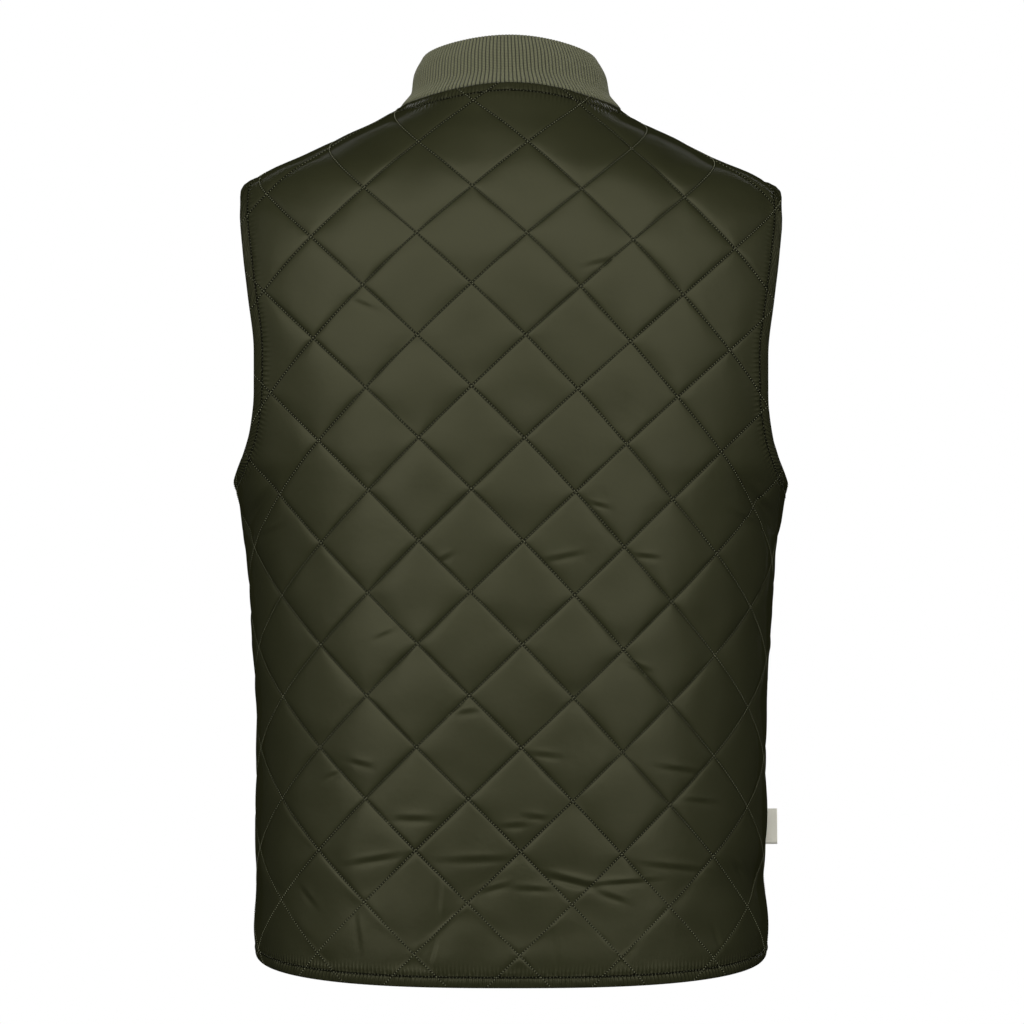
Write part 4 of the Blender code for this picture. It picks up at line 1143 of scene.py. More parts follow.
def band_rows(panel, seed):
    """Flat rows and thicknesses of the edge bands, from the cut edge to the stitching."""
    along = walked_lengths(panel.outline)
    pucker = line_noise(along, PUCKER_CELL, seed)
    rows = []
    heights = []
    for share in BAND_SHARES:
        flat = panel.outline + (panel.stitched - panel.outline) * share
        arch = max(math.sin(math.pi * share), 0.0) ** LIP_POWER
        lip = LIP_EDGE + (LIP_STITCHED - LIP_EDGE) * share + arch * (LIP_CROWN + PUCKER_DEPTH * pucker)
        seam = STITCHED_THICKNESS + panel.padding(flat) - SEAM_DIP * (1.0 - share) ** SEAM_DIP_POWER
        rows.append(flat)
        heights.append(panel.lip * lip + (1.0 - panel.lip) * seam)
    return rows, heights


def settled_shell(panel, seed):
    """Flat and settled places of the shell cloth within the stitching, and flat ones of the plain inside."""
    grid, on_row, coarse = lattice(panel)
    kept = clear_inside(grid, panel.stitched, CLOTH_CLEARANCE)
    target = np.zeros(kept.shape)
    target[kept] = panel.padding(grid[kept])
    inner = np.logical_and.reduce(neighbours(kept, "constant"))
    free = (kept & inner & ~on_row).astype(float)
    settled = settle_cloth(grid, target, free, seed)
    fine_flat, fine_settled = crease_nodes(panel, grid, settled, kept)
    inside = grid[coarse & clear_inside(grid, panel.outline, INNER_CLEARANCE)]
    return np.vstack([grid[kept], fine_flat]), np.vstack([settled[kept], fine_settled]), inside


def ring_faces(rings, count):
    """Faces between rings that follow each other, each with the same count of points."""
    faces = []
    for first in range(0, (rings - 1) * count, count):
        for i in range(count):
            a = first + i
            b = first + (i + 1) % count
            faces.append((a, b, b + count, a + count))
    return faces


def quilted_cloth(panel, name, seed, material):
    """Closed quilted wall: settled shell cloth, rolled edge bands and a plain inside."""
    shell_flat, shell, inside = settled_shell(panel, seed)
    rows, heights = band_rows(panel, seed + 2)
    ring = len(panel.outline)
    banded = ring * (len(rows) - 1)
    flat = np.vstack(rows + [shell[:, :2]])
    thickness = np.concatenate(heights + [STITCHED_THICKNESS + shell[:, 2]])
    inside_flat = np.vstack([panel.outline, inside])
    inside_lift = np.concatenate([np.full(ring, INNER_EDGE_LIFT), np.zeros(len(inside))])
    shift = len(flat)
    faces = ring_faces(len(rows), ring)
    faces += (triangulate(np.vstack([panel.stitched, shell_flat]), ring) + banded).tolist()
    faces += (triangulate(inside_flat, ring)[:, ::-1] + shift).tolist()
    faces += [((i + 1) % ring, i, shift + i, shift + (i + 1) % ring) for i in range(ring)]
    if panel.front_half == (panel.mirror[0] < 0):
        faces = [face[::-1] for face in faces]
    points = np.vstack([panel.wrap(flat, thickness), panel.wrap(inside_flat, inside_lift)])
    piece = make_piece(name, points, faces, material)
    mark_cloth(piece.data, panel, flat, inside_flat, banded)
    return piece


def mark_cloth(mesh, panel, flat, inside_flat, banded):
    """Store the flat place of each point with its distance from sewing, and its place in the puckers."""
    row_gap = panel.row_distance(flat) + FLAT_ROW_SHADE * (1.0 - panel.puffed(flat))
    sewn_gap, along = topstitch_places(panel, flat)
    along[:banded] = np.tile(walked_lengths(panel.outline), banded // len(panel.outline))
    gap = np.full(len(flat) + len(inside_flat), ROW_SHADE_REACH)
    gap[:len(flat)] = np.minimum(np.minimum(row_gap, sewn_gap), ROW_SHADE_REACH)
    set_vectors(mesh, "cloth_place", np.column_stack([np.vstack([flat, inside_flat]), gap]))
    reach = np.where(np.arange(len(flat)) < banded, BAND_PUCKER_REACH, PUCKER_REACH)
    pucker = np.zeros((len(gap), 3))
    pucker[:len(flat), 0] = along
    pucker[:len(flat), 1] = np.exp(-(sewn_gap / reach) ** 2) * pucker_share(panel, flat)
    set_vectors(mesh, "pucker_place", pucker)


def set_vectors(mesh, name, vectors):
    """Store a vector for each point of a mesh, for its material to read."""
    attribute = mesh.attributes.new(name, "FLOAT_VECTOR", "POINT")
    attribute.data.foreach_set("vector", np.asarray(vectors, np.float32).ravel())


def make_piece(name, points, faces, *materials):
    """Smooth-shaded mesh object in metres."""
    mesh = bpy.data.meshes.new(name)
    mesh.from_pydata((np.asarray(points) * MM).tolist(), [], faces)
    mesh.shade_smooth()
    for material in materials:
        mesh.materials.append(material)
    piece = bpy.data.objects.new(name, mesh)
    bpy.context.scene.collection.objects.link(piece)
    return piece


def quilting_runs(panel):
    """Flat starts and ends of the stitches in the quilting rows."""
    low, high = panel.quilt_reach(panel.outline)
    length = STITCH_SHARE * STITCH_PITCH / DIAMOND_SIDE
    starts = []
    ends = []
    for family in (0, 1):
        count = int((high[1 - family] - low[1 - family]) * DIAMOND_SIDE / STITCH_PITCH)
        marks = np.linspace(low[1 - family], high[1 - family], count + 1)[:-1]
        for row in range(low[family], high[family] + 1):
            steady = np.full(len(marks), float(row))
            for line, along in ((starts, marks), (ends, marks + length)):
                pair = (steady, along) if family == 0 else (along, steady)
                line.append(panel.quilt_point(*pair))
    starts = np.vstack(starts)
    ends = np.vstack(ends)
    inside = inside_loop(starts, panel.outline) & inside_loop(ends, panel.outline)
    starts = starts[inside]
    ends = ends[inside]
    clear = panel.edge_distance(0.5 * (starts + ends), list(TOPSTITCH) + list(SEAMS)) > STITCH_MARGIN
    return starts[clear], ends[clear]


def topstitch_runs(panel):
    """Flat starts and ends of the stitches along the topstitched edges."""
    closed = np.vstack([panel.stitched, panel.stitched[:1]])
    starts = []
    ends = []
    first = 0
    for name, edge in panel.edges:
        last = first + len(edge) - 1
        if name in TOPSTITCH:
            run = closed[first:last + 1]
            line = even_line(run, int(walked_lengths(run)[-1] / TOPSTITCH_PITCH) + 1)
            starts.append(line[:-1])
            ends.append(line[:-1] + np.diff(line, axis=0) * STITCH_SHARE)
        first = last
    return np.vstack(starts), np.vstack(ends)


def surface_of(piece):
    """Tree of a mesh's faces, in metres."""
    mesh = piece.data
    corners = np.zeros(len(mesh.vertices) * 3, np.float32)
    mesh.vertices.foreach_get("co", corners)
    faces = [tuple(face.vertices) for face in mesh.polygons]
    return BVHTree.FromPolygons(corners.reshape(-1, 3).tolist(), faces)


def laid_on(tree, places):
    """The nearest places on a mesh's surface."""
    return np.array([tree.find_nearest(Vector(place))[0] for place in places * MM]) / MM


def stitches(panel, cloth, name, thread, edge_thread, hole):
    """Thread stitches lying in the cloth's rows, each followed by a near-black patch of painted shade over
    its needle hole.
    """
    quilting = quilting_runs(panel)
    starts, ends = (np.vstack(pair) for pair in zip(quilting, topstitch_runs(panel)))
    tree = surface_of(cloth)
    height = np.full(len(starts), STITCHED_THICKNESS)
    start = laid_on(tree, panel.wrap(starts, height))
    end = laid_on(tree, panel.wrap(ends, height))
    across, upright = panel.body_place(0.5 * (starts + ends))
    normal = TORSO.normal(across, upright) * panel.mirror
    run = end - start
    length = np.linalg.norm(run, axis=1, keepdims=True)
    run = run / length
    beside = unit(np.cross(normal, run))
    points = [start - normal * THREAD_DIVE, end - normal * THREAD_DIVE]
    for share in THREAD_RISES_AT:
        middle = start + run * length * share + normal * THREAD_LIFT
        points += [middle + normal * THREAD_BELLY, middle + beside * THREAD_RADIUS,
                   middle - normal * THREAD_RADIUS, middle - beside * THREAD_RADIUS]
    # Patch of painted shade over the needle hole after each stitch
    gap = end + run * length * (1.0 - STITCH_SHARE) / STITCH_SHARE / 2
    rim = [gap, gap - run * HOLE_HALF_LENGTH, gap - beside * HOLE_HALF_WIDTH,
           gap + run * HOLE_HALF_LENGTH, gap + beside * HOLE_HALF_WIDTH]
    points += [laid_on(tree, place) + normal * HOLE_LIFT for place in rim]
    thread_faces = [(0, 3, 2), (0, 4, 3), (0, 5, 4), (0, 2, 5), (1, 6, 7), (1, 7, 8), (1, 8, 9), (1, 9, 6),
                    (2, 3, 7, 6), (3, 4, 8, 7), (4, 5, 9, 8), (5, 2, 6, 9)]
    hole_faces = [(10, 11, 12), (10, 12, 13), (10, 13, 14), (10, 14, 11)]
    pattern = thread_faces + hole_faces
    each = len(points)
    stacked = np.stack(points, axis=1).reshape(-1, 3)
    faces = [tuple(base + corner for corner in face)
             for base in range(0, len(stacked), each) for face in pattern]
    piece = make_piece(name, stacked, faces, thread, edge_thread, hole)
    slots = np.zeros((len(start), len(pattern)), np.int32)
    slots[len(quilting[0]):] = 1
    slots[:, len(thread_faces):] = 2
    piece.data.polygons.foreach_set("material_index", slots.ravel())
    return piece


def collar_stations():
    """Neck seam from one front end round the back to the other, with the place in each rib."""
    fine = neck_line(NECK_FINE_STATIONS, 0.0, math.pi)
    points = TORSO.point(fine[:, 0], fine[:, 1])
    from_front = half_girth(fine[:, 1]) - fine[:, 0]
    walked = walked_lengths(points)
    end = float(np.interp(-COLLAR_END_GAP, -from_front, walked))
    ribs = int(2 * end / RIB_PITCH)
    place = np.linspace(0.0, ribs, ribs * RIB_COLUMNS + 1)
    signed = -end + 2 * end * place / ribs
    across = np.sign(signed) * np.interp(np.abs(signed), walked, fine[:, 0])
    height = np.interp(np.abs(signed), walked, fine[:, 1])
    return across, height, place, 2 * end


def collar_top(base):
    """Folded top edge: the neck seam drawn in and raised, with its heights eased along the band."""
    coarse = base[::RIB_COLUMNS]
    walked = walked_lengths(base)
    share = np.exp(-((walked[:, None] - walked[None, ::RIB_COLUMNS]) / COLLAR_TOP_EASE) ** 2)
    height = share @ coarse[:, 2] / share.sum(axis=1)
    across = base[:, 0] * COLLAR_LEAN_ACROSS
    deep = base[:, 1] * COLLAR_LEAN_DEEP
    return np.stack([across, deep, height + COLLAR_HEIGHT], axis=1)


def collar_rows():
    """Level, share of the way from the inner to the outer face, and rib height of each row of the collar."""
    rows = [(level, 1.0, RIB_HEIGHT) for level in np.linspace(0.0, COLLAR_CAP_LEVEL, COLLAR_ROWS)]
    for turn in np.linspace(0.0, math.pi, COLLAR_CAP_ROWS + 2)[1:-1]:
        level = COLLAR_CAP_LEVEL + (1.0 - COLLAR_CAP_LEVEL) * math.sin(turn)
        out = 0.5 + 0.5 * math.cos(turn)
        rows.append((level, out, RIB_HEIGHT * out - INSIDE_RIB_HEIGHT * (1.0 - out)))
    inside_levels = np.linspace(COLLAR_CAP_LEVEL, 0.0, COLLAR_INSIDE_ROWS)
    return rows + [(level, 0.0, -INSIDE_RIB_HEIGHT) for level in inside_levels]


def collar_level(base, top, level):
    """Points of the collar's inner face at a level from the neck seam up to the fold."""
    lean = smooth_table(level, COLLAR_LEVELS, COLLAR_LEANS)
    here = base + (top - base) * np.array([lean, lean, level])
    here[:, 0] += COLLAR_SWAY * level
    return here


def rib_collar(name, material):
    """Rib-knit stand collar, one closed band folded over at its top edge."""
    across, height, place, length = collar_stations()
    seam = TORSO.point(across, height)
    along = unit(np.gradient(seam, axis=0))
    outward = TORSO.normal(across, height)
    upward = np.cross(outward, along)
    upward = upward * np.sign(upward[:, 2:3])
    base = seam - upward * SEAM_LAP
    top = collar_top(base)
    wander = line_noise(walked_lengths(seam), COLLAR_WANDER_CELL, COLLAR_SEED)
    top = top + along * (COLLAR_WANDER * wander)[:, None]
    rib = np.abs(np.sin(math.pi * place)) ** RIB_POWER
    rows = []
    knit_place = []
    rise = 0.0
    for level, out, rib_height in collar_rows():
        here = collar_level(base, top, level)
        rising = collar_level(base, top, level + LEVEL_STEP) - collar_level(base, top, level - LEVEL_STEP)
        face = unit(np.cross(rising, np.gradient(here, axis=0)))
        face = face * np.sign(np.sum(face * outward, axis=1))[:, None]
        raised = rib if rib_height > 0 else 1.0 - rib
        rows.append(here + face * (COLLAR_WALL * out + rib_height * raised)[:, None])
        if len(rows) > 1:
            rise += float(np.linalg.norm(rows[-1] - rows[-2], axis=1).mean())
        # The third value, the rib's rise, sets the painted shade in the grooves
        knit_place.append(np.stack([place * RIB_PITCH, np.full(len(place), rise), raised], axis=1))
    count = len(base)
    faces = []
    for row in range(len(rows)):
        above = (row + 1) % len(rows)
        faces += [(row * count + i, above * count + i, above * count + i + 1, row * count + i + 1)
                  for i in range(count - 1)]
    first_end = range(0, count * len(rows), count)
    faces += [tuple(first_end[::-1]), tuple(corner + count - 1 for corner in first_end)]
    piece = make_piece(name, hang(np.vstack(rows)), faces, material)
    set_vectors(piece.data, "cloth_place", np.vstack(knit_place))
    return piece, length


def zip_frame(height):
    """Point on the centre front, with the directions up the zip and out of it."""
    here = TORSO.point(float(half_girth(height)), height)
    here[0] = 0.0
    above = TORSO.point(float(half_girth(height + NORMAL_STEP)), height + NORMAL_STEP)
    below = TORSO.point(float(half_girth(height - NORMAL_STEP)), height - NORMAL_STEP)
    up = above - below
    up[0] = 0.0
    up = unit(up)
    return here, up, np.array([0.0, -up[2], up[1]])


def swept(sections):
    """Points and faces of a closed bar through rings with the same number of corners."""
    count = len(sections[0])
    points = np.vstack(sections)
    faces = ring_faces(len(sections), count)
    faces.append(tuple(range(count))[::-1])
    faces.append(tuple(len(points) - count + i for i in range(count)))
    return points, faces


def zip_tape(name, side, material):
    """Woven tape into the edge of a front; it lies lower behind the teeth."""
    heights = np.arange(HEM_FRONT, NECK_FRONT_HEIGHT, TAPE_STEP)
    tucked = ZIP_HALF_OPENING + TAPE_TUCK
    step = TEETH_HALF_WIDTH - TOOTH_REACH
    corners = ((TAPE_NEAR, TAPE_LOW_BOTTOM), (step, TAPE_LOW_BOTTOM), (TEETH_HALF_WIDTH, TAPE_BOTTOM),
               (tucked, TAPE_BOTTOM), (tucked, TAPE_TUCKED_TOP), (ZIP_HALF_OPENING - TAPE_TUCK, TAPE_TOP),
               (step + TAPE_EDGE_ROUND, TAPE_TOP), (step, TAPE_LOW_TOP), (TAPE_NEAR, TAPE_LOW_TOP))
    sections = []
    for height in np.append(heights, NECK_FRONT_HEIGHT):
        here, _, out = zip_frame(height)
        ring = [here + out * lift + np.array([side * x, 0.0, 0.0]) for x, lift in corners]
        sections.append(np.array(ring))
    points, faces = swept(sections)
    if side > 0:
        faces = [face[::-1] for face in faces]
    return make_piece(name, points, faces, material)


def zip_teeth(name, side, material):
    """One side's row of teeth, half a pitch from the other side's so that they close."""
    up = zip_frame(NECK_FRONT_HEIGHT)[1]
    top = NECK_FRONT_HEIGHT - (SLIDER_BELOW_NECK + TEETH_INTO_SLIDER * SLIDER_HALF_LENGTH) * up[2]
    low = HEM_FRONT + BOX_HEIGHT + TOOTH_PITCH
    first = low if side > 0 else low + TOOTH_PITCH / 2
    points = []
    faces = []
    for height in np.arange(first, top, TOOTH_PITCH):
        here, up, out = zip_frame(height)
        sections = []
        for x, share, less in TOOTH_RINGS:
            half = share * TOOTH_HALF_HEIGHT
            bottom = TOOTH_BOTTOM + less
            high = TOOTH_TOP - less
            cut = TOOTH_CHAMFER * half
            ring = ((-half, bottom + cut), (-half, high - cut), (-half + cut, high), (half - cut, high),
                    (half, high - cut), (half, bottom + cut), (half - cut, bottom), (cut - half, bottom))
            middle = here + np.array([side * x, 0.0, 0.0])
            sections.append(np.array([middle + up * rise + out * lift for rise, lift in ring]))
        tooth_points, tooth_faces = swept(sections)
        faces += [tuple(corner + len(points) for corner in face) for face in tooth_faces]
        points += list(tooth_points)
    if side < 0:
        faces = [face[::-1] for face in faces]
    return make_piece(name, np.array(points), faces, material)


def label_loop():
    """Middle line of the folded ribbon as (out, aside), from one end in the seam round the fold."""
    half = 0.5 * (RIBBON_THICKNESS + RIBBON_GAP)
    straight = np.linspace(0.0, LABEL_REACH - half, LABEL_COLUMNS)
    turns = np.linspace(-math.pi / 2, math.pi / 2, LABEL_FOLD_STATIONS)[1:-1]
    there = [(reach, -half) for reach in straight]
    fold = [(straight[-1] + half * math.cos(turn), half * math.sin(turn)) for turn in turns]
    return np.array(there + fold + [(reach, half) for reach in straight[::-1]])


def side_label(name, material):
    """Bare woven ribbon, folded to a loop and caught in the wearer's right side seam."""
    line = label_loop()
    side = inward_normals(line) * RIBBON_THICKNESS / 2
    ring = np.vstack([line + side, (line - side)[::-1]])
    walked = walked_lengths(line)
    strip_place = np.concatenate([walked, walked[::-1]])
    aside = np.array([0.0, 1.0, 0.0])
    sections = []
    places = []
    for part in np.linspace(-0.5, 0.5, LABEL_ROWS):
        height = LABEL_HEIGHT + part * LABEL_TALL
        across = -float(TORSO.back_girth(height))
        here = TORSO.point(across, height)
        out = TORSO.normal(across, height)
        near = STITCHED_THICKNESS + float(fold_depth(np.array(across), np.array(height))) - SEAM_DIP
        wave = LABEL_WAVE * np.sin(LABEL_WAVE_TURN * part + LABEL_WAVE_START)
        sway = wave * (ring[:, 0] / LABEL_REACH) ** 2
        reach = near + ring[:, 0] * (LABEL_REACH - near) / LABEL_REACH
        sections.append(here + np.outer(reach, out) + np.outer(ring[:, 1] + sway, aside))
        places.append(np.stack([strip_place, np.full(len(ring), height), np.zeros(len(ring))], axis=1))
    points, faces = swept(sections)
    piece = make_piece(name, points, faces, material)
    set_vectors(piece.data, "cloth_place", np.vstack(places))
    return piece


class Shading:
    """A Principled material with its node tree."""

    def __init__(self, name, **values):
        """New material; each value goes to the shader's own socket, with underscores for spaces."""
        self.name = name
        self.material = bpy.data.materials.new(name)
        self.material.use_nodes = True
        self.nodes = self.material.node_tree.nodes
        self.links = self.material.node_tree.links
        self.shader = self.nodes["Principled BSDF"]
        for socket, value in values.items():
            self.shader.inputs[socket.replace("_", " ")].default_value = value

    def add(self, kind, inputs=(), **settings):
        """New node with its settings, and its inputs joined to other nodes or set to values."""
        node = self.nodes.new(kind)
        for name, value in settings.items():
            setattr(node, name, value)
        for name, value in dict(inputs).items():
            if isinstance(value, bpy.types.NodeSocket):
                self.links.new(value, node.inputs[name])
            else:
                node.inputs[name].default_value = value
        return node

    def join(self, socket, name):
        self.links.new(socket, self.shader.inputs[name])

    def stored(self, name):
        return self.add("ShaderNodeAttribute", attribute_name=name).outputs["Vector"]

    def part(self, vector, axis):
        return self.add("ShaderNodeSeparateXYZ", {"Vector": vector}).outputs[axis]

    def object_place(self):
        return self.add("ShaderNodeTexCoord").outputs["Object"]

    def wave(self, place, axis, pitch, distortion=0.0):
        """Bands across one axis of a place, one for each pitch."""
        inputs = {"Vector": place, "Scale": math.pi / 10.0 / pitch, "Distortion": distortion}
        return self.add("ShaderNodeTexWave", inputs, bands_direction=axis, wave_profile="SIN").outputs["Fac"]

    def weave(self, place, first, second):
        """Two crossing sets of yarns, each given as an axis and a pitch."""
        return self.mixed("MULTIPLY", self.wave(place, *first), self.wave(place, *second))

    def noise(self, place, size, detail=2.0):
        """Noise with features of about a given size in the units of the place."""
        inputs = {"Vector": place, "Scale": 1.0 / size, "Detail": detail}
        return self.add("ShaderNodeTexNoise", inputs).outputs["Fac"]

    def between(self, factor, low, high):
        """Number between two numbers as the factor goes from 0 to 1."""
        inputs = {"Value": factor, "To Min": low, "To Max": high}
        return self.add("ShaderNodeMapRange", inputs).outputs["Result"]

    def ramp(self, value, start, end, low, high):
        """Smooth change from low to high as a value goes from start to end."""
        inputs = {"Value": value, "From Min": start, "From Max": end, "To Min": low, "To Max": high}
        return self.add("ShaderNodeMapRange", inputs, interpolation_type="SMOOTHSTEP").outputs["Result"]

    def mixed(self, operation, first, second):
        return self.add("ShaderNodeMath", {0: first, 1: second}, operation=operation).outputs["Value"]

    def mean(self, first, share, second):
        """Weighted mean of two numbers, with the share of the first."""
        weighted = (self.mixed("MULTIPLY", first, share), self.mixed("MULTIPLY", second, 1.0 - share))
        return self.mixed("ADD", *weighted)

    def paint(self, factor, light=None):
        """Base colour between the material's darkest and palest, cut to a share of light."""
        ramp = self.add("ShaderNodeValToRGB", {"Fac": factor})
        for element, colour in zip(ramp.color_ramp.elements, COLOURS[self.name]):
            element.color = colour + (1.0,)
        painted = ramp.outputs["Color"]
        if light is not None:
            inputs = {"Factor": light, "A": BLACK, "B": painted}
            painted = self.add("ShaderNodeMix", inputs, data_type="RGBA").outputs["Result"]
        self.join(painted, "Base Color")

    def bump(self, *layers):
        """Bump from layers of (height, strength, distance in metres), the first one lowest."""
        normal = None
        for height, strength, distance in layers:
            inputs = {"Height": height, "Strength": strength, "Distance": distance}
            if normal is not None:
                inputs["Normal"] = normal
            normal = self.add("ShaderNodeBump", inputs).outputs["Normal"]
        self.join(normal, "Normal")


def nylon_material():
    """Dark olive satin nylon: fine plain weave, a soft sheen, small crumples, and painted shade along its
    rows of stitches and topstitching.
    """
    shading = Shading("quilted_nylon_satin", Specular_Tint=NYLON_GLOSS)
    place = shading.stored("cloth_place")
    pucker_place = shading.stored("pucker_place")
    pucker = shading.wave(pucker_place, "X", PUCKER_PITCH, PUCKER_WANDER)
    pucker = shading.mixed("MULTIPLY", pucker, shading.part(pucker_place, "Y"))
    weave = shading.weave(place, *NYLON_YARNS)
    cloud = shading.noise(place, NYLON_CLOUD, 3.0)
    crumple = shading.noise(place, NYLON_CRUMPLE, 3.0)
    # Painted shade: base colour and gloss fall to a share of light within about a millimetre of each row of
    # stitches and of the topstitching
    light = shading.ramp(shading.part(place, "Z"), *ROW_SHADE, 1.0)
    shading.paint(shading.mean(cloud, 0.8, weave), light)
    facing = shading.add("ShaderNodeLayerWeight", {"Blend": 0.5}).outputs["Facing"]
    face_on = shading.ramp(facing, *GLOSS_FADES, GLOSS, 0.0)
    shading.join(shading.mixed("MULTIPLY", light, face_on), "Specular IOR Level")
    shading.join(shading.between(cloud, 0.34, 0.44), "Roughness")
    shading.bump((pucker, 0.9, 0.0008), (crumple, 0.25, 0.0006), (weave, 0.2, 0.00006))
    return shading.material


def thread_material(name):
    """Twisted polyester thread."""
    shading = Shading(name, Roughness=0.6, Specular_IOR_Level=0.2)
    fibre = shading.noise(shading.object_place(), THREAD_FIBRE)
    shading.paint(fibre)
    shading.bump((fibre, 0.4, 0.00008))
    return shading.material


def hole_shade_material():
    """Painted shade of a needle hole: a near-black patch where the hole and its dimple lie in shadow."""
    shading = Shading("needle_hole_painted_shade", Roughness=0.9, Specular_IOR_Level=0.1)
    shading.paint(shading.noise(shading.object_place(), HOLE_SPECK, 1.0))
    return shading.material


def rib_material():
    """Matt grey-olive rib knit: loops up each rib, fine fuzz, and painted shade in the grooves between the
    ribs.
    """
    shading = Shading("rib_knit_cotton", Roughness=0.85, Sheen_Weight=0.3, Sheen_Roughness=0.5,
                      Specular_IOR_Level=0.3)
    place = shading.stored("cloth_place")
    loops = shading.wave(place, "Y", RIB_LOOP, RIB_LOOP_WANDER)
    fuzz = shading.noise(place, RIB_FUZZ, 3.0)
    # Painted shade: the base colour darkens in the grooves between the ribs
    light = shading.ramp(shading.part(place, "Z"), *RIB_SHADE, 1.0)
    shading.paint(shading.mean(loops, 0.5, fuzz), light)
    shading.bump((loops, 0.5, 0.0004), (fuzz, 0.35, 0.0002))
    return shading.material


def tape_material():
    """Dark woven zip tape with a herringbone of fine cords."""
    shading = Shading("zip_tape_woven", Roughness=0.8, Sheen_Weight=0.15)
    cords = shading.weave(shading.object_place(), *TAPE_CORDS)
    shading.paint(cords)
    shading.bump((cords, 0.6, 0.0002))
    return shading.material


def teeth_material():
    """Moulded dark olive teeth with a slight gloss."""
    shading = Shading("zip_teeth_moulded")
    speck = shading.noise(shading.object_place(), TEETH_SPECK)
    shading.paint(speck)
    shading.join(shading.between(speck, 0.32, 0.5), "Roughness")
    shading.bump((speck, 0.15, 0.0001))
    return shading.material


def metal_material():
    """Dull brushed grey metal, lighter where it is worn."""
    shading = Shading("zip_metal_brushed", Metallic=1.0)
    place = shading.object_place()
    grain = shading.add("ShaderNodeMapping", {"Vector": place, "Scale": METAL_GRAIN_SHAPE}).outputs["Vector"]
    brushed = shading.noise(grain, METAL_GRAIN, 3.0)
    shading.paint(shading.noise(place, METAL_WEAR))
    shading.join(shading.between(brushed, 0.26, 0.48), "Roughness")
    shading.bump((brushed, 0.2, 0.00006))
    return shading.material


def ribbon_material():
    """Cream woven ribbon with fine crosswise yarns."""
    shading = Shading("label_ribbon_woven", Roughness=0.8, Sheen_Weight=0.15)
    place = shading.stored("cloth_place")
    yarns = shading.weave(place, *RIBBON_YARNS)
    cloud = shading.noise(place, RIBBON_CLOUD, 3.0)
    shading.paint(shading.mean(cloud, 0.6, yarns))
    shading.bump((yarns, 0.6, 0.00015), (cloud, 0.2, 0.0003))
    return shading.material


def floor_material():
    """Pale paper, with a glow that keeps it light."""
    shading = Shading("floor_paper", Roughness=0.9, Emission_Color=FLOOR_GLOW,
                      Emission_Strength=FLOOR_GLOW_STRENGTH)
    shading.paint(shading.noise(shading.object_place(), FLOOR_CLOUD))
    return shading.material


def dress_metal(node, material):
    """Give a hard node its finish and softened edges."""
    node.data.materials.clear()
    node.data.materials.append(material)
    bevel = node.modifiers.new("edge_round", "BEVEL")
    bevel.width = METAL_BEVEL * MM
    bevel.segments = METAL_BEVEL_SEGMENTS
    bevel.limit_method = "ANGLE"
    node.data.shade_smooth()


def area_light(name, place, aim, size, power):
    """Soft rectangular light pointing at a place."""
    data = bpy.data.lights.new(name, "AREA")
    data.shape = "RECTANGLE"
    data.size, data.size_y = size
    data.energy = power
    lamp = bpy.data.objects.new(name, data)
    lamp.location = place
    lamp.rotation_euler = (Vector(aim) - Vector(place)).to_track_quat("-Z", "Y").to_euler()
    lamp.visible_camera = False
    bpy.context.scene.collection.objects.link(lamp)


def studio():
    """Camera, lights, pale floor and white surround."""
    camera = bpy.data.objects.new("camera", bpy.data.cameras.new("camera"))
    camera.location = CAMERA_PLACE
    camera.rotation_euler = (math.pi / 2, 0.0, math.pi)
    camera.data.lens = CAMERA_LENS
    bpy.context.scene.collection.objects.link(camera)
    bpy.context.scene.camera = camera
    for name, values in LIGHTS.items():
        area_light(name, *values)
    white_surround()
    pale_floor()
    bpy.context.scene.view_settings.view_transform = "Standard"


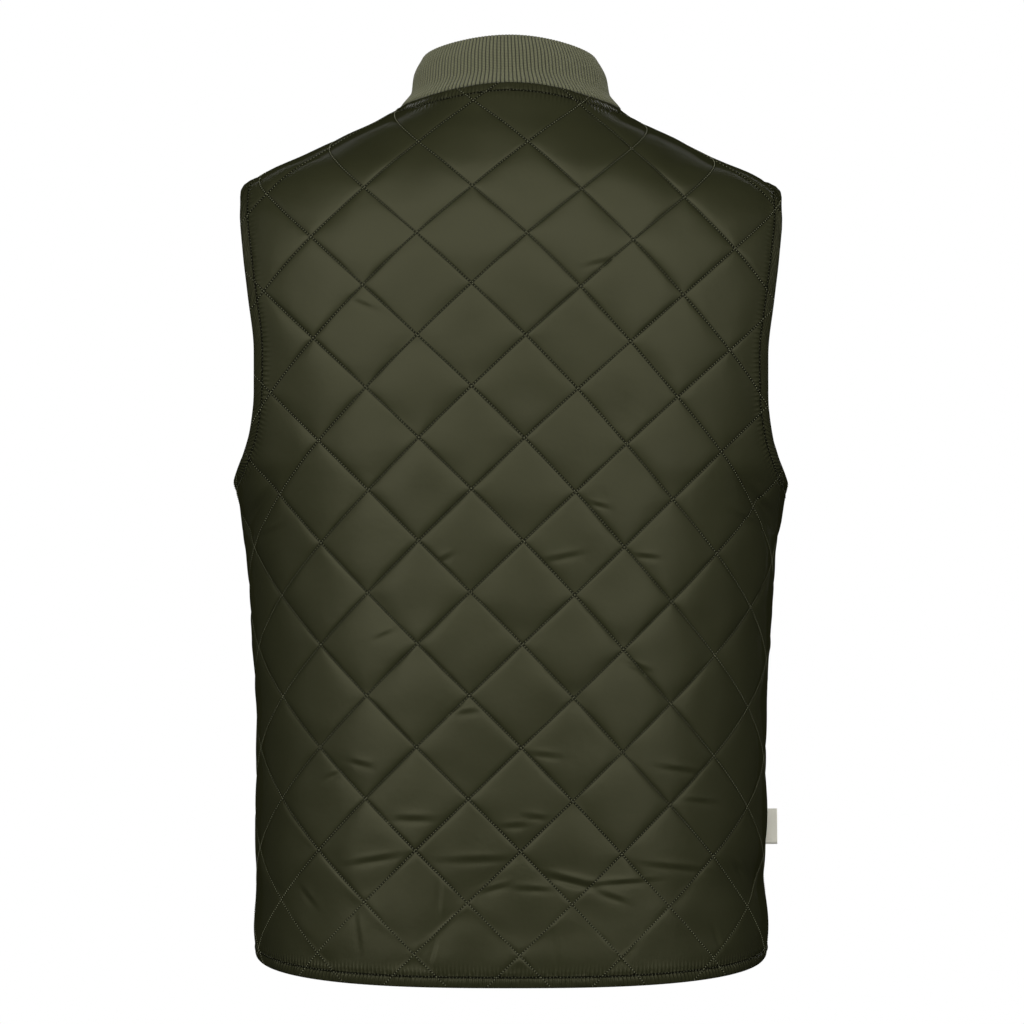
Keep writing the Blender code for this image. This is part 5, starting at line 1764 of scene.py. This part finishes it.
def white_surround():
    """White behind the object, with only a little light from it."""
    world = bpy.data.worlds.new("surround")
    bpy.context.scene.world = world
    world.use_nodes = True
    nodes = world.node_tree.nodes
    links = world.node_tree.links
    path = nodes.new("ShaderNodeLightPath")
    strength = nodes.new("ShaderNodeMapRange")
    strength.inputs["To Min"].default_value = SURROUND_LIGHT
    strength.inputs["To Max"].default_value = 1.0
    links.new(path.outputs["Is Camera Ray"], strength.inputs["Value"])
    background = nodes["Background"]
    background.inputs["Color"].default_value = WHITE
    links.new(strength.outputs["Result"], background.inputs["Strength"])


def pale_floor():
    """Round floor that only the camera sees."""
    turns = np.linspace(0.0, 2 * math.pi, FLOOR_STATIONS + 1)[:-1]
    rim = np.stack([FLOOR_RADIUS * np.cos(turns), FLOOR_RADIUS * np.sin(turns),
                    np.full(len(turns), FLOOR_LEVEL)], axis=1)
    floor = make_piece("floor", rim / MM, [tuple(range(len(rim)))], floor_material())
    floor.visible_diffuse = False
    floor.visible_glossy = False


def place_piece(piece, body, slot, *nodes):
    """Carry a piece on its body and hide the nodes that it stands for; its slot is not used."""
    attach(piece, body)
    if nodes:
        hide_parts(*nodes)


def dress_panels():
    """The back and the two fronts with their sewing."""
    nylon = nylon_material()
    threads = thread_material("quilting_thread"), thread_material("topstitch_thread"), hole_shade_material()
    panels = {"back": Panel(back_edges(), False, False), "front_left": Panel(front_edges(), True, False),
              "front_right": Panel(front_edges(), True, True)}
    for node, panel in panels.items():
        cloth = quilted_cloth(panel, node + "_cloth", PANEL_SEEDS[node], nylon)
        sewing = stitches(panel, cloth, node + "_stitches", *threads)
        place_piece(cloth, "garment", "quilted_nylon", node)
        place_piece(sewing, "garment", "quilted_nylon")


def dress_collar():
    piece, length = rib_collar("collar_knit", rib_material())
    place_piece(piece, "garment", "rib_knit", "collar")


def dress_zip(frame):
    tape = tape_material()
    teeth = teeth_material()
    for node, side in (("zip_tape_left", 1.0), ("zip_tape_right", -1.0)):
        place_piece(zip_tape(node + "_woven", side, tape), "garment", "zip_tape", node)
        place_piece(zip_teeth(node.replace("tape", "teeth"), side, teeth), "garment", "zip_tape")
    metal = metal_material()
    for node in ("zip_slider", "zip_pull", "zip_box"):
        dress_metal(frame["nodes"][node], metal)


def dress_label():
    piece = side_label("side_label_ribbon", ribbon_material())
    place_piece(piece, "garment", "label_ribbon", "side_label")


for thing in list(bpy.data.objects):
    bpy.data.objects.remove(thing)
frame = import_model()
studio()
dress_panels()
dress_collar()
dress_zip(frame)
dress_label()
